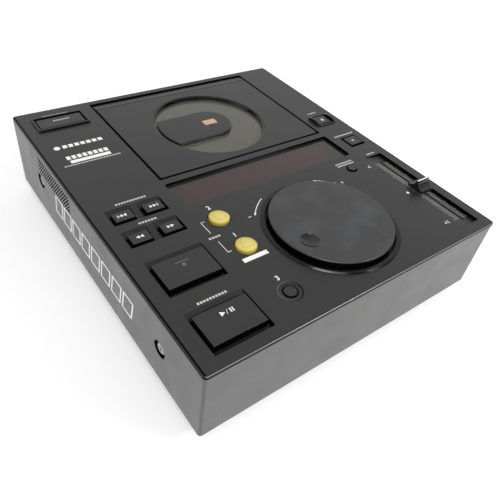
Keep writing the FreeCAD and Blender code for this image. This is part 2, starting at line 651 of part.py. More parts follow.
def top_panel():
    plate = rounded(LEFT, RIGHT, FRONT, BACK, UNDER_Z, PANEL_Z, PANEL_CORNER_R)
    plate = plate.makeFillet(PANEL_EDGE_R, edges_at(plate, PANEL_Z))
    adds = [ridge(y0, y0 + SMALL_WELL_D) for y0 in SMALL_WELLS.values()]
    skirts = []
    cuts = []
    for depth, wells in ((BIG_WELL_D, BIG_WELLS), (SMALL_WELL_D, SMALL_WELLS)):
        for y0 in wells.values():
            skirts.append(well_skirt(WELL_X0, WELL_X1, y0, y0 + depth))
            cuts.append(well_cut(WELL_X0, WELL_X1, y0, y0 + depth))
            rod_x0, rod_x1 = rod_span()
            rod_y = rod_place(y0 + depth)
            cuts.append(cyl_x(rod_x0, rod_x1, rod_y, KEY_ROD_Z, KEY_ROD_R + FIT_GAP))
    skirts.append(locating_rib())
    bevel = JOG_RING_H * 0.75
    ring = turned([(JOG_WELL_R, UNDER_Z), (JOG_RING_R, UNDER_Z), (JOG_RING_R, PANEL_Z + JOG_RING_H - bevel),
                   (JOG_RING_R - bevel, PANEL_Z + JOG_RING_H), (JOG_WELL_R + bevel / 2, PANEL_Z + JOG_RING_H),
                   (JOG_WELL_R, PANEL_Z + JOG_RING_H - bevel / 2)], CENTRE_X, JOG_PY)
    skirts.append(cyl(CENTRE_X, JOG_PY, JOG_FLOOR - JOG_FLOOR_T, UNDER_Z, JOG_WELL_R + JOG_FLOOR_T))
    cuts.append(cyl(CENTRE_X, JOG_PY, JOG_FLOOR, PANEL_Z + 3, JOG_WELL_R))
    cuts.append(cyl(CENTRE_X, JOG_PY, JOG_FLOOR - 5, JOG_FLOOR + 1, BEARING_R + RUN_GAP))
    skirts.append(box(TEMPO_X0 - TEMPO_WALL, TEMPO_X1 + TEMPO_WALL, TEMPO_Y0 - TEMPO_WALL,
                      TEMPO_Y1 + TEMPO_WALL, SLIDER_TOP, UNDER_Z))
    cuts.append(box(TEMPO_X0, TEMPO_X1, TEMPO_Y0, TEMPO_Y1, TEMPO_SEAT, PANEL_Z + 1))
    cuts.append(box(TEMPO_X0 + TEMPO_LEDGE, TEMPO_X1 - TEMPO_LEDGE, TEMPO_Y0 + TEMPO_LEDGE,
                    TEMPO_Y1 - TEMPO_LEDGE, SLIDER_TOP - 1, TEMPO_SEAT + 1))
    cuts.append(rounded(LID_X0, LID_X1, LID_Y0, LID_Y1, UNDER_Z - 1, PANEL_Z + 1, LID_CORNER_R))
    cuts.append(rounded(DISPLAY_X0, DISPLAY_X1, DISPLAY_Y0, DISPLAY_Y1, UNDER_Z - 1, PANEL_Z + 1,
                        DISPLAY_CORNER))
    for y in LOOP_PLACES.values():
        cuts.append(cyl(LOOP_PX, y, UNDER_Z - 1, PANEL_Z + 1, LOOP_HOLE_R))
    cuts.append(reloop_dish())
    cuts.append(cyl(LOOP_PX, RELOOP_PY, UNDER_Z - 1, PANEL_Z + 1, RELOOP_HOLE_R))
    cuts.append(cyl(TIME_PX, TIME_PY, UNDER_Z - 1, PANEL_Z + 1, TIME_HOLE_R))
    cuts.append(rounded(MASTER_PX - MASTER_WELL_W / 2, MASTER_PX + MASTER_WELL_W / 2,
                        MASTER_PY - MASTER_WELL_D / 2, MASTER_PY + MASTER_WELL_D / 2,
                        UNDER_Z - 1, PANEL_Z + 1, 1.0))
    cuts.append(block(OPEN_PX, OPEN_PY, GUARD_W - 2 * GUARD_WALL, GUARD_D - 2 * GUARD_WALL,
                      UNDER_Z - 1, PANEL_Z + 1))
    sleeve_room = 2 * (BEZEL_SLEEVE + STATIC_GAP / 2 - BEZEL_WALL)
    cuts.append(block(POWER_PX, POWER_PY, BEZEL_W + sleeve_room, BEZEL_D + sleeve_room,
                      UNDER_Z - 1, PANEL_Z + 1))
    body = join([plate] + skirts + [ring])
    for cut in cuts:
        body = body.cut(cut)
    high = [(x, z) for x, z in rear_screw_places() if z > (CASE_Z0 + UNDER_Z) / 2]
    lugs = [box(x - REAR_LUG_W / 2, x + REAR_LUG_W / 2, INNER_BACK - REAR_LUG_D, INNER_BACK,
                z - REAR_LUG_W / 2, UNDER_Z) for x, z in high]
    body = join([body] + adds + lugs)
    for x, z in high:
        body = body.cut(cyl_y(x, INNER_BACK - REAR_LUG_D - 1, INNER_BACK + 1, z, SCREW_R + FIT_GAP))
    for y0 in SMALL_WELLS.values():
        rod_y = rod_place(y0 + SMALL_WELL_D)
        body = body.cut(cyl_x(WELL_X - RIDGE_W, WELL_X + RIDGE_W, rod_y, KEY_ROD_Z, KEY_ROD_R + FIT_GAP))
    for x, y in PILLARS:
        body = body.cut(cyl(x, y, UNDER_Z - 1, UNDER_Z + SPIGOT_H + STATIC_GAP / 2, SPIGOT_R + FIT_GAP))
    return body


def reloop_dish():
    depth = RELOOP_DISH_DEPTH
    ball = (RELOOP_DISH_R ** 2 + depth ** 2) / (2 * depth)
    return Part.makeSphere(ball, Vector(LOOP_PX, RELOOP_PY, PANEL_Z - depth + ball))


def rod_span():
    return WELL_X0 - SKIRT_T - 1, WELL_X1 + SKIRT_T + 1


def key_rods():
    rods = []
    for depth, wells in ((BIG_WELL_D, BIG_WELLS), (SMALL_WELL_D, SMALL_WELLS)):
        for y0 in wells.values():
            rod_y = rod_place(y0 + depth)
            rods.append(cyl_x(WELL_X0 - SKIRT_T, WELL_X1 + SKIRT_T, rod_y, KEY_ROD_Z, KEY_ROD_R))
    return rods


def vent_slots():
    """Slanted slots of the vent field, clipped to its rectangle."""
    z0, z1 = CASE_Z0 + VENT_Z0, CASE_Z0 + VENT_Z1
    y1 = BACK - VENT_BACK
    y0 = y1 - VENT_L
    height = z1 - z0
    width = VENT_SLOT * math.sqrt(2)
    count = int((y1 - y0 + height) / VENT_PITCH)
    field = box(-WRAP_X - 1, -INNER_X + 1, y0, y1, z0, z1)
    slots = []
    for i in range(count):
        y = y0 + (i + 0.6) * VENT_PITCH
        points = [(y, z0), (y + width, z0), (y + width - height, z1), (y - height, z1)]
        slots.append(prism_x(points, -WRAP_X - 1, -INNER_X + 1).common(field))
    return slots


def case_wrap():
    """Front and both sides in one piece, open to the back, with a flange along the bottom."""
    r = CASE_CORNER_R
    outer = rounded(-WRAP_X, WRAP_X, WRAP_FRONT, WRAP_BACK + 2 * r, CASE_Z0, UNDER_Z, r)
    inner = box(-INNER_X, INNER_X, INNER_FRONT, WRAP_BACK + 3 * r, CASE_Z0 + FLANGE_T, UNDER_Z + 1)
    flange_hole = box(-INNER_X + FLANGE_W, INNER_X - FLANGE_W, INNER_FRONT + FLANGE_W, WRAP_BACK + 3 * r,
                      CASE_Z0 - 1, CASE_Z0 + FLANGE_T + 1)
    tail = box(-INNER_X, INNER_X, INNER_BACK, WRAP_BACK + 3 * r, CASE_Z0 - 1, UNDER_Z + 1)
    back = box(-WRAP_X - 1, WRAP_X + 1, WRAP_BACK, WRAP_BACK + 3 * r, CASE_Z0 - 1, UNDER_Z + 1)
    body = outer.cut(inner).cut(flange_hole).cut(tail).cut(back)
    cups = [cyl_x(-WRAP_X + 0.5, -BRACKET_X, y, SCREW_PZ, CUP_R + CUP_WALL) for y in SCREW_PY]
    cups += [mirror_sides(cup) for cup in cups]
    body = join([body] + cups)
    cuts = [cyl_x(-WRAP_X - 1, -CUP_FLOOR_X, y, SCREW_PZ, CUP_R) for y in SCREW_PY]
    cuts += [cyl_x(-CUP_FLOOR_X - 1, -BRACKET_X + 1, y, SCREW_PZ, SCREW_R + FIT_GAP) for y in SCREW_PY]
    cuts += vent_slots()
    cuts += [mirror_sides(c) for c in cuts]
    body = body.cut(Part.makeCompound(cuts))
    for x, y in PILLARS:
        body = body.cut(cyl(x, y, CASE_Z0 - 1, DECK_Z, SCREW_R + FIT_GAP))
    return body


def rear_panel():
    plate = box(-INNER_X, INNER_X, INNER_BACK, WRAP_BACK, CASE_Z0, UNDER_Z)
    wall = CASE_WALL
    pan = box(-JACK_BAY_W / 2 - wall, JACK_BAY_W / 2 + wall, JACK_PLATE_Y - wall, WRAP_BACK,
              JACK_PZ - JACK_BAY_H / 2 - wall, JACK_PZ + JACK_BAY_H / 2 + wall)
    body = join([plate, pan])
    body = body.cut(block(0, (JACK_PLATE_Y + WRAP_BACK) / 2 + 1, JACK_BAY_W, JACK_BAY_DEPTH + 2,
                          JACK_PZ - JACK_BAY_H / 2, JACK_PZ + JACK_BAY_H / 2))
    for x, y in jack_places():
        body = body.cut(cyl_y(x, JACK_PLATE_Y - wall - 1, JACK_PLATE_Y + 1, JACK_PZ, JACK_R + FIT_GAP))
    inlet = block(INLET_X, INNER_BACK + 1, INLET_W - 4, CASE_WALL * 3,
                  JACK_PZ - INLET_H / 2 + 2, JACK_PZ + INLET_H / 2 - 2)
    body = body.cut(inlet)
    for x, z in rear_screw_places():
        body = body.cut(cyl_y(x, INNER_BACK - 1, WRAP_BACK + 1, z, SCREW_R + FIT_GAP))
        sink = SCREW_HEAD_H + STATIC_GAP
        body = body.cut(cyl_y(x, WRAP_BACK - sink, WRAP_BACK + 1, z, SCREW_HEAD_R + STATIC_GAP))
    return body


def rear_screw_places():
    x = INNER_X - 14.0
    return [(sx * x, z) for sx in (-1, 1) for z in (CASE_Z0 + 8.0, UNDER_Z - 12.0)]


def jack_places():
    """Four plug places in the recess, from left to right: right, left, digital and control."""
    return [(JACK_PITCH * (i - 1.5), JACK_PZ) for i in range(4)]


def bottom_plate():
    plate = box(-INNER_X, INNER_X, INNER_FRONT, INNER_BACK, CASE_Z0 + FLANGE_T, DECK_Z)
    tabs = []
    for x, z in rear_screw_places():
        low = z < (CASE_Z0 + UNDER_Z) / 2
        if low:
            tabs.append(block(x, INNER_BACK - BRACKET_T / 2, BRACKET_W, BRACKET_T, DECK_Z, z + 8.0))
    body = join([plate] + tabs)
    for x, z in rear_screw_places():
        body = body.cut(cyl_y(x, INNER_BACK - 4, INNER_BACK + 1, z, SCREW_R + FIT_GAP))
    for x, y in PILLARS + FOOT_PLACES:
        body = body.cut(cyl(x, y, CASE_Z0, DECK_Z + 1, SCREW_R + FIT_GAP))
    return body


def chassis_brackets():
    """Steel angles that take the side screws, and the posts that the top panel stands on."""
    brackets = []
    for x, y in PILLARS:
        post = join([cyl(x, y, DECK_Z, UNDER_Z, PILLAR_R), cyl(x, y, UNDER_Z, UNDER_Z + SPIGOT_H, SPIGOT_R)])
        brackets.append(post.cut(cyl(x, y, DECK_Z - 1, DECK_Z + PILLAR_SCREW_LEN, SCREW_R + FIT_GAP)))
    for y in SCREW_PY:
        upright = box(-BRACKET_X, -BRACKET_X + BRACKET_T, y - BRACKET_W / 2, y + BRACKET_W / 2,
                      DECK_Z, DECK_Z + BRACKET_H)
        foot = box(-BRACKET_X, -BRACKET_X + BRACKET_FOOT, y - BRACKET_W / 2, y + BRACKET_W / 2,
                   DECK_Z, DECK_Z + BRACKET_T)
        angle = join([upright, foot])
        angle = angle.cut(cyl_x(-BRACKET_X - 1, -BRACKET_X + BRACKET_T + 1, y, SCREW_PZ, SCREW_R + FIT_GAP))
        brackets += [angle, mirror_sides(angle)]
    return brackets


def feet():
    solids = []
    for x, y in FOOT_PLACES:
        foot = turned([(0, PAD_T - PAD_SINK), (PAD_R + 1.5, PAD_T - PAD_SINK), (FOOT_R, 6.0),
                       (FOOT_R, CASE_Z0 + FLANGE_T), (0, CASE_Z0 + FLANGE_T)], x, y)
        foot = foot.cut(cyl(x, y, 0, PAD_T, PAD_R + FIT_GAP))
        foot = foot.cut(cyl(x, y, 0, CASE_Z0 + FLANGE_T - 3.0, SCREW_HEAD_R + STATIC_GAP))
        foot = foot.cut(cyl(x, y, 0, CASE_Z0 + 5, SCREW_R + FIT_GAP))
        solids.append(foot)
    return solids


def foot_pads():
    pads = []
    for x, y in FOOT_PLACES:
        ring = cyl(x, y, 0, PAD_T, PAD_R).cut(cyl(x, y, -1, PAD_T + 1, SCREW_HEAD_R + 1.0))
        pads.append(ring)
    return pads


def cross_recess(depth, size):
    """Cross shaped driver recess, pointing down -Z from the origin."""
    bars = [box(-size / 2, size / 2, -CROSS_W / 2, CROSS_W / 2, -depth, 1),
            box(-CROSS_W / 2, CROSS_W / 2, -size / 2, size / 2, -depth, 1)]
    return join(bars)


def screw(head_r, head_h, shank_r, length):
    """Pan head screw standing head up, underside of its head at the origin."""
    head = cyl(0, 0, 0, head_h, head_r)
    head = head.makeFillet(head_h * 0.6, edges_at(head, head_h))
    recess = cross_recess(head_h * 0.7, head_r * 1.2)
    recess.translate(Vector(0, 0, head_h))
    return join([head, cyl(0, 0, -length, 0, shank_r)]).cut(recess)


def placed(shape, x, y, z, axis, angle):
    copy = shape.copy()
    copy.rotate(Vector(0, 0, 0), axis, angle)
    copy.translate(Vector(x, y, z))
    return copy


def side_screws():
    reach = CUP_WALL + BRACKET_T + 3.0
    one = screw(SIDE_HEAD_R, SIDE_HEAD_H, SCREW_R, reach)
    left = [placed(one, -CUP_FLOOR_X, y, SCREW_PZ, Vector(0, 1, 0), -90) for y in SCREW_PY]
    return left + [mirror_sides(s) for s in left]


def small_screws():
    """Foot, pillar and rear screws, all of one kind but for their length."""
    up = Vector(1, 0, 0)
    foot_one = screw(SCREW_HEAD_R, SCREW_HEAD_H, SCREW_R, FLANGE_T + BOTTOM_T + 3.0)
    solids = [placed(foot_one, x, y, CASE_Z0 + FLANGE_T - 3.0, up, 180) for x, y in FOOT_PLACES]
    pillar_one = screw(SCREW_HEAD_R, SCREW_HEAD_H, SCREW_R, PILLAR_SCREW_LEN + FLANGE_T)
    solids += [placed(pillar_one, x, y, CASE_Z0, up, 180) for x, y in PILLARS]
    rear_one = screw(SCREW_HEAD_R, SCREW_HEAD_H, SCREW_R, REAR_SCREW_LEN)
    sink = SCREW_HEAD_H + STATIC_GAP
    solids += [placed(rear_one, x, WRAP_BACK - sink, z, up, -90) for x, z in rear_screw_places()]
    return solids


# Lid

def lid_plate():
    g = LID_GAP
    x0, x1, y0, y1 = LID_X0 + g, LID_X1 - g, LID_Y0 + g, LID_Y1 - g
    plate = rounded(x0, x1, y0, y1, LID_UNDER, PANEL_Z, LID_CORNER_R - g / 2)
    plate = plate.makeFillet(0.5, edges_at(plate, PANEL_Z))
    strip_y = y1 - LID_STRIP + g
    slope = prism_x([(strip_y, PANEL_Z), (y1 + 1, PANEL_Z - LID_STRIP_DROP), (y1 + 1, PANEL_Z + 1),
                     (strip_y, PANEL_Z + 1)], x0 - 1, x1 + 1)
    crease = box(x0 - 1, x1 + 1, strip_y - LID_CREASE, strip_y, PANEL_Z - 1.0, PANEL_Z + 1)
    plate = plate.cut(slope).cut(crease)
    plate = plate.cut(cyl(CENTRE_X, WINDOW_Y, LID_UNDER - 1, PANEL_Z + 1, WINDOW_R))
    for x in ear_places():
        barrel = cyl_x(x - EAR_W / 2, x + EAR_W / 2, HINGE_Y, HINGE_Z, EAR_R)
        web = box(x - EAR_W / 2, x + EAR_W / 2, HINGE_Y - EAR_R, HINGE_Y + 1, HINGE_Z, LID_UNDER + 0.5)
        plate = join([plate, barrel, web])
        plate = plate.cut(cyl_x(x - EAR_W, x + EAR_W, HINGE_Y, HINGE_Z, HINGE_PIN_R + RUN_GAP))
    return plate


def ear_places():
    offset = EAR_INSET + LUG_W + SLIP_GAP + EAR_W / 2
    return LID_X0 + offset, LID_X1 - offset


def lug_spans():
    """X spans of the fixed hinge lugs, one either side of each ear."""
    spans = []
    for x in ear_places():
        reach = EAR_W / 2 + SLIP_GAP
        spans += [(x - reach - LUG_W, x - reach), (x + reach, x + reach + LUG_W)]
    return spans


def hinge_pins():
    reach = EAR_W / 2 + SLIP_GAP + LUG_W
    return [cyl_x(x - reach, x + reach, HINGE_Y, HINGE_Z, HINGE_PIN_R) for x in ear_places()]


def lid_window():
    r = WINDOW_R - STATIC_GAP
    floor_r = WINDOW_FLOOR_R
    rise = LID_UNDER - WINDOW_Z
    profile = [(0, WINDOW_Z), (floor_r, WINDOW_Z), (floor_r + 1.2, WINDOW_Z + 0.8),
               (r - 0.8, WINDOW_Z + rise + 2.4), (r, WINDOW_Z + rise + 2.4), (r, LID_UNDER),
               (r + WINDOW_FLANGE, LID_UNDER), (r + WINDOW_FLANGE, LID_UNDER - WINDOW_T),
               (floor_r + 2.4, LID_UNDER - WINDOW_T), (floor_r, WINDOW_UNDER), (0, WINDOW_UNDER)]
    dish = turned(profile, CENTRE_X, WINDOW_Y)
    return dish.cut(cyl(CENTRE_X, WINDOW_Y, WINDOW_UNDER - 1, WINDOW_Z + 1, CAGE_R))


def arm_outline(inset, z0, z1):
    """Plan of the clamp arm: round at the window centre, cut by the window rim on its left."""
    r = ARM_R - inset
    straight = box(CENTRE_X - WINDOW_R, CENTRE_X, WINDOW_Y - r, WINDOW_Y + r, z0, z1)
    shape = join([cyl(CENTRE_X, WINDOW_Y, z0, z1, r), straight])
    return shape.common(cyl(CENTRE_X, WINDOW_Y, z0, z1, WINDOW_FLOOR_R - ARM_GROOVE - inset))


def clamp_cover():
    """Arm over the window with the cage that holds the clamp under it."""
    top = PANEL_Z - ARM_SINK
    skin = arm_outline(0, WINDOW_Z, top)
    skin = skin.makeFillet(0.8, edges_at(skin, top))
    hollow = arm_outline(ARM_T, WINDOW_Z - 1, top - ARM_T)
    cover = skin.cut(hollow)
    tube = cyl(CENTRE_X, WINDOW_Y, WINDOW_UNDER, top - ARM_T, CAGE_R - FIT_GAP)
    bore = cyl(CENTRE_X, WINDOW_Y, WINDOW_UNDER + CAGE_LIP_T, top - ARM_T, CAGE_R - ARM_T)
    hole = cyl(CENTRE_X, WINDOW_Y, WINDOW_UNDER - 1, WINDOW_UNDER + CAGE_LIP_T, CLAMP_NECK_R + SLIP_GAP)
    cage = tube.cut(bore).cut(hole)
    return join([cover, cage])


def clamp_disc():
    """Magnetic clamp: wide disc below, neck through the cage lip, flange above it."""
    lip_top = WINDOW_UNDER + CAGE_LIP_T
    flange_z = lip_top + SLIP_GAP
    cup_r, cup_z = CONE_R + 0.7, CLAMP_Z + 1.0
    profile = [(0, cup_z), (cup_r, cup_z), (cup_r, CLAMP_Z), (CLAMP_R - 0.5, CLAMP_Z),
               (CLAMP_R, CLAMP_Z + 0.5),
               (CLAMP_R, CLAMP_Z + CLAMP_T), (CLAMP_NECK_R, CLAMP_Z + CLAMP_T), (CLAMP_NECK_R, flange_z),
               (CLAMP_FLANGE_R, flange_z), (CLAMP_FLANGE_R, flange_z + CLAMP_FLANGE_T),
               (0, flange_z + CLAMP_FLANGE_T)]
    return turned(profile, CENTRE_X, WINDOW_Y)


def lid_catch():
    x0, x1 = CATCH_X - CATCH_T / 2, CATCH_X + CATCH_T / 2
    y0, y1 = CATCH_Y - CATCH_W / 2, CATCH_Y + CATCH_W / 2
    blade = box(x0, x1, y0, y1, CATCH_Z0, LID_UNDER)
    barb = prism_y([(x1, CATCH_Z0), (x1 + CATCH_BARB, CATCH_Z0 + BARB_Z0),
                    (x1 + CATCH_BARB, CATCH_Z0 + BARB_Z1), (x1, CATCH_Z0 + BARB_Z1)], y0, y1)
    foot = box(x0 - CATCH_FOOT, x1, y0, y1, LID_UNDER - CATCH_T, LID_UNDER)
    return join([blade, barb, foot])


# Disc bay and mechanism

def disc_well():
    outer = box(BAY_X0, BAY_X1, BAY_Y0, BAY_Y1, BAY_BOTTOM, UNDER_Z)
    space = rounded(LID_X0, LID_X1, LID_Y0, LID_Y1, BAY_SHELF_Z, UNDER_Z + 1, LID_CORNER_R)
    pocket = cyl(CENTRE_X, WINDOW_Y, BAY_FLOOR_Z, UNDER_Z + 1, BAY_R)
    hinge_y0 = HINGE_Y - EAR_R - 2.3
    hinge_z = BAY_SHELF_Z - 4.0
    hinge_room = box(LID_X0, LID_X1, hinge_y0, LID_Y1, hinge_z, UNDER_Z + 1)
    below = box(BAY_X0 + BAY_WALL, BAY_X1 - BAY_WALL, BAY_Y0 + BAY_WALL, BAY_Y1 - BAY_WALL,
                BAY_BOTTOM - 1, BAY_SHELF_Z - BAY_WALL)
    below = below.cut(cyl(CENTRE_X, WINDOW_Y, BAY_BOTTOM - 2, UNDER_Z, BAY_R + BAY_WALL))
    below = below.cut(box(LID_X0 - BAY_WALL, LID_X1 + BAY_WALL, hinge_y0 - BAY_WALL, BAY_Y1,
                          hinge_z - BAY_WALL, UNDER_Z))
    body = outer.cut(below).cut(space).cut(pocket).cut(hinge_room)
    turret_end = LENS_X + SLED_TRAVEL + TURRET_R + MOVE_GAP
    slot_half = TURRET_R + 4.0
    body = body.cut(cyl(CENTRE_X, WINDOW_Y, BAY_BOTTOM - 1, BAY_FLOOR_Z + 1, TABLE_R + 2.0))
    body = body.cut(box(CENTRE_X, turret_end, WINDOW_Y - slot_half, WINDOW_Y + slot_half,
                        BAY_BOTTOM - 1, BAY_FLOOR_Z + 1))
    lugs = []
    for x0, x1 in lug_spans():
        post = box(x0, x1, HINGE_Y - LUG_HALF, HINGE_Y + LUG_HALF, hinge_z, HINGE_Z)
        lugs.append(join([post, cyl_x(x0, x1, HINGE_Y, HINGE_Z, LUG_HALF)]))
    posts = []
    for x, y in bush_places():
        far = math.hypot(x - CENTRE_X, y - WINDOW_Y) > BAY_R
        if far:
            posts.append(cyl(x, y, BAY_BOTTOM, BAY_SHELF_Z, BUSH_R))
    body = join([body] + lugs + posts)
    for x0, x1 in lug_spans():
        body = body.cut(cyl_x(x0 - 0.1, x1 + 0.1, HINGE_Y, HINGE_Z, HINGE_PIN_R + FIT_GAP))
    catch_room = box(CATCH_X - 2.2, CATCH_X + CATCH_T / 2 + CATCH_BARB + 1.0,
                     CATCH_Y - CATCH_W / 2 - 2, CATCH_Y + CATCH_W / 2 + 2, BAY_BOTTOM - 1, BAY_SHELF_Z + 1)
    nose_room = box(CATCH_X, BAY_X1 + 1, CATCH_Y - LATCH_W / 2 - 1, CATCH_Y + LATCH_W / 2 + 1,
                    BAY_BOTTOM - 1, BAY_SHELF_Z - BAY_WALL)
    return body.cut(catch_room).cut(nose_room)


def bush_places():
    return [(x, y) for x in (DECK_X0 + BUSH_INSET, DECK_X1 - BUSH_INSET)
            for y in (WINDOW_Y - DECK_HALF_D + BUSH_INSET, WINDOW_Y + DECK_HALF_D - BUSH_INSET)]


def damper_bushes():
    bushes = []
    for x, y in bush_places():
        middle = (DECK_TOP + BAY_BOTTOM) / 2
        bush = turned([(BUSH_HOLE_R, DECK_TOP), (BUSH_R, DECK_TOP), (BUSH_R - 1.0, middle),
                       (BUSH_R, BAY_BOTTOM), (BUSH_HOLE_R, BAY_BOTTOM)], x, y)
        bushes.append(bush)
    return bushes


def mech_deck():
    """Steel deck with lugs for the guide rods and a lower shelf for the sled drive."""
    plate = box(DECK_X0, DECK_X1, WINDOW_Y - DECK_HALF_D, WINDOW_Y + DECK_HALF_D, DECK_UNDER, DECK_TOP)
    window = box(ROD_X0 + LUG_T, ROD_X1, WINDOW_Y - ROD_HALF_SPREAD - 6, WINDOW_Y + ROD_HALF_SPREAD + 6,
                 DECK_UNDER - 1, DECK_TOP + 1)
    motor_hole = cyl(CENTRE_X, WINDOW_Y, DECK_UNDER - 1, DECK_TOP + 1, NECK_R + 1.0)
    plate = plate.cut(window).cut(motor_hole)
    lugs = []
    for y in rod_rows():
        for x in (ROD_X0, ROD_X1):
            lug = box(x, x + LUG_T, y - 3, y + 3, ROD_Z - 2.5, DECK_UNDER)
            lugs.append(lug)
    shelf_y0 = WINDOW_Y - DECK_HALF_D
    shelf = box(GEAR_X - 10, PINION_X + 10, shelf_y0, RACK_Y, BRACKET_UNDER, BRACKET_TOP)
    leg = box(GEAR_X - 10, PINION_X + 10, shelf_y0, shelf_y0 + DECK_T, BRACKET_UNDER, DECK_UNDER)
    stud = cyl(GEAR_X, GEAR_Y, BRACKET_TOP, SLED_Z0 + GEAR_T + 1.0, GEAR_STUD_R)
    body = join([plate, shelf, leg, stud] + lugs)
    for y in rod_rows():
        body = body.cut(cyl_x(ROD_X0 - 1, ROD_X1 + LUG_T + 1, y, ROD_Z, ROD_R + FIT_GAP))
    return body.cut(cyl(PINION_X, GEAR_Y, BRACKET_UNDER - 1, BRACKET_TOP + 1, PINION_R))


def rod_rows():
    return WINDOW_Y - ROD_HALF_SPREAD, WINDOW_Y + ROD_HALF_SPREAD


def guide_rods():
    return [cyl_x(ROD_X0, ROD_X1 + LUG_T, y, ROD_Z, ROD_R) for y in rod_rows()]


def spindle_motor():
    can = cyl(CENTRE_X, WINDOW_Y, DECK_UNDER - MOTOR_H, DECK_UNDER, MOTOR_R)
    can = can.makeFillet(1.2, edges_at(can, DECK_UNDER - MOTOR_H))
    boss = cyl(CENTRE_X, WINDOW_Y, DECK_UNDER, DECK_TOP, 3.0)
    bore = cyl(CENTRE_X, WINDOW_Y, DECK_UNDER - 6.0, DECK_TOP + 1, SPINDLE_SHAFT_R + RUN_GAP)
    return join([can, boss]).cut(bore)


def turntable():
    """Disc table with its centring cone, hub neck and shaft."""
    profile = [(0, DECK_UNDER - 5.5), (SPINDLE_SHAFT_R, DECK_UNDER - 5.5),
               (SPINDLE_SHAFT_R, DECK_TOP + SLIP_GAP), (NECK_R, DECK_TOP + SLIP_GAP), (NECK_R, TABLE_Z),
               (TABLE_R, TABLE_Z), (TABLE_R, TABLE_TOP), (CONE_R, TABLE_TOP), (CONE_R - 1.2, CONE_TOP),
               (0, CONE_TOP)]
    return turned(profile, CENTRE_X, WINDOW_Y)


def gear(teeth, x, y, z0, z1, turn):
    """Spur gear with straight sided teeth and room for play."""
    m = GEAR_MODULE
    pitch = m * teeth / 2
    radii = (pitch - 1.15 * m, pitch - 0.9 * m, pitch, pitch + 0.7 * m)
    shares = (0.5, 0.34, 0.20, 0.09)
    points = []
    for i in range(teeth):
        middle = (i + turn) * 2 * math.pi / teeth
        step = 2 * math.pi / teeth
        for r, share in zip(radii, shares):
            points.append((r, middle - share * step))
        for r, share in zip(radii[::-1], shares[::-1]):
            points.append((r, middle + share * step))
    places = [Vector(x + r * math.cos(a), y + r * math.sin(a), z0) for r, a in points]
    clean = [p for i, p in enumerate(places) if (p - places[i - 1]).Length > 1e-6]
    wire = Part.makePolygon(clean + clean[:1])
    return Part.Face(wire).extrude(Vector(0, 0, z1 - z0))


def sled_gear():
    """Double gear on its stud: a large wheel below and a small one in the rack."""
    wheel_z = BRACKET_TOP + SLIP_GAP
    wheel = gear(WHEEL_TEETH, GEAR_X, GEAR_Y, wheel_z, wheel_z + GEAR_T, 0.0)
    small = gear(IDLER_TEETH, GEAR_X, GEAR_Y, wheel_z + GEAR_T, SLED_Z0 + GEAR_T, 0.0)
    bore = cyl(GEAR_X, GEAR_Y, wheel_z - 1, SLED_Z0 + GEAR_T + 1, GEAR_STUD_R + RUN_GAP)
    return join([wheel, small]).cut(bore)


def motor_pinion():
    wheel_z = BRACKET_TOP + SLIP_GAP
    pinion = gear(PINION_TEETH, PINION_X, GEAR_Y, wheel_z, wheel_z + GEAR_T, 0.5)
    shaft = cyl(PINION_X, GEAR_Y, BRACKET_UNDER - 4.0, wheel_z, 0.7)
    return join([pinion, shaft])


def sled_motor():
    can = cyl(PINION_X, GEAR_Y, BRACKET_UNDER - SLED_MOTOR_H, BRACKET_UNDER, SLED_MOTOR_R)
    return can.cut(cyl(PINION_X, GEAR_Y, BRACKET_UNDER - 5.0, BRACKET_UNDER + 1, 0.7 + RUN_GAP))


def rack_bar():
    """Toothed bar along the front of the sled; a tooth gap faces the small gear at rest."""
    m = GEAR_MODULE
    pitch = math.pi * m
    x1 = GEAR_X + 2.5 * pitch + 0.2
    x0 = x1 - RACK_LENGTH
    root = RACK_Y + m
    solids = [box(x0, x1, root, WINDOW_Y - SLED_HALF_W, SLED_Z0, SLED_Z0 + GEAR_T)]
    foot, tip = RACK_FOOT * pitch, RACK_TIP * pitch
    top = root - RACK_TOOTH * m
    for i in range(int(RACK_LENGTH / pitch)):
        middle = GEAR_X + (2.5 - i) * pitch
        if middle - pitch > x0 and middle < x1:
            corners = [(middle - foot, root), (middle - tip, top), (middle + tip, top), (middle + foot, root)]
            places = [Vector(x, y, SLED_Z0) for x, y in corners]
            wire = Part.makePolygon(places + places[:1])
            solids.append(Part.Face(wire).extrude(Vector(0, 0, GEAR_T)))
    return join(solids)


def pickup_sled():
    x0 = LENS_X - SLED_L / 2 + 2.0
    x1 = x0 + SLED_L
    body = box(x0, x1, WINDOW_Y - SLED_HALF_W, WINDOW_Y + SLED_HALF_W, SLED_Z0, SLED_Z1)
    arms = []
    for y in rod_rows():
        arms.append(box(x0, x1, y - 2.8, y + 2.8, ROD_Z - 2.8, ROD_Z + 2.3))
    joins = box(x0, x1, WINDOW_Y - ROD_HALF_SPREAD, WINDOW_Y + ROD_HALF_SPREAD, ROD_Z - 2.8, ROD_Z + 2.3)
    turret = cyl(LENS_X, WINDOW_Y, SLED_Z1, LENS_Z - LENS_T, TURRET_R)
    sled = join([body, joins, turret, rack_bar()] + arms)
    for y in rod_rows():
        sled = sled.cut(cyl_x(x0 - 1, x1 + 1, y, ROD_Z, ROD_R + RUN_GAP))
    return sled


def pickup_lens():
    ring = cyl(LENS_X, WINDOW_Y, LENS_Z - LENS_T, LENS_Z - LENS_T / 2, LENS_R)
    dome = Part.makeSphere(6.0, Vector(LENS_X, WINDOW_Y, LENS_Z - 6.0))
    dome = dome.common(cyl(LENS_X, WINDOW_Y, LENS_Z - LENS_T, LENS_Z, LENS_R - 0.3))
    return join([ring, dome])


# Lid latch

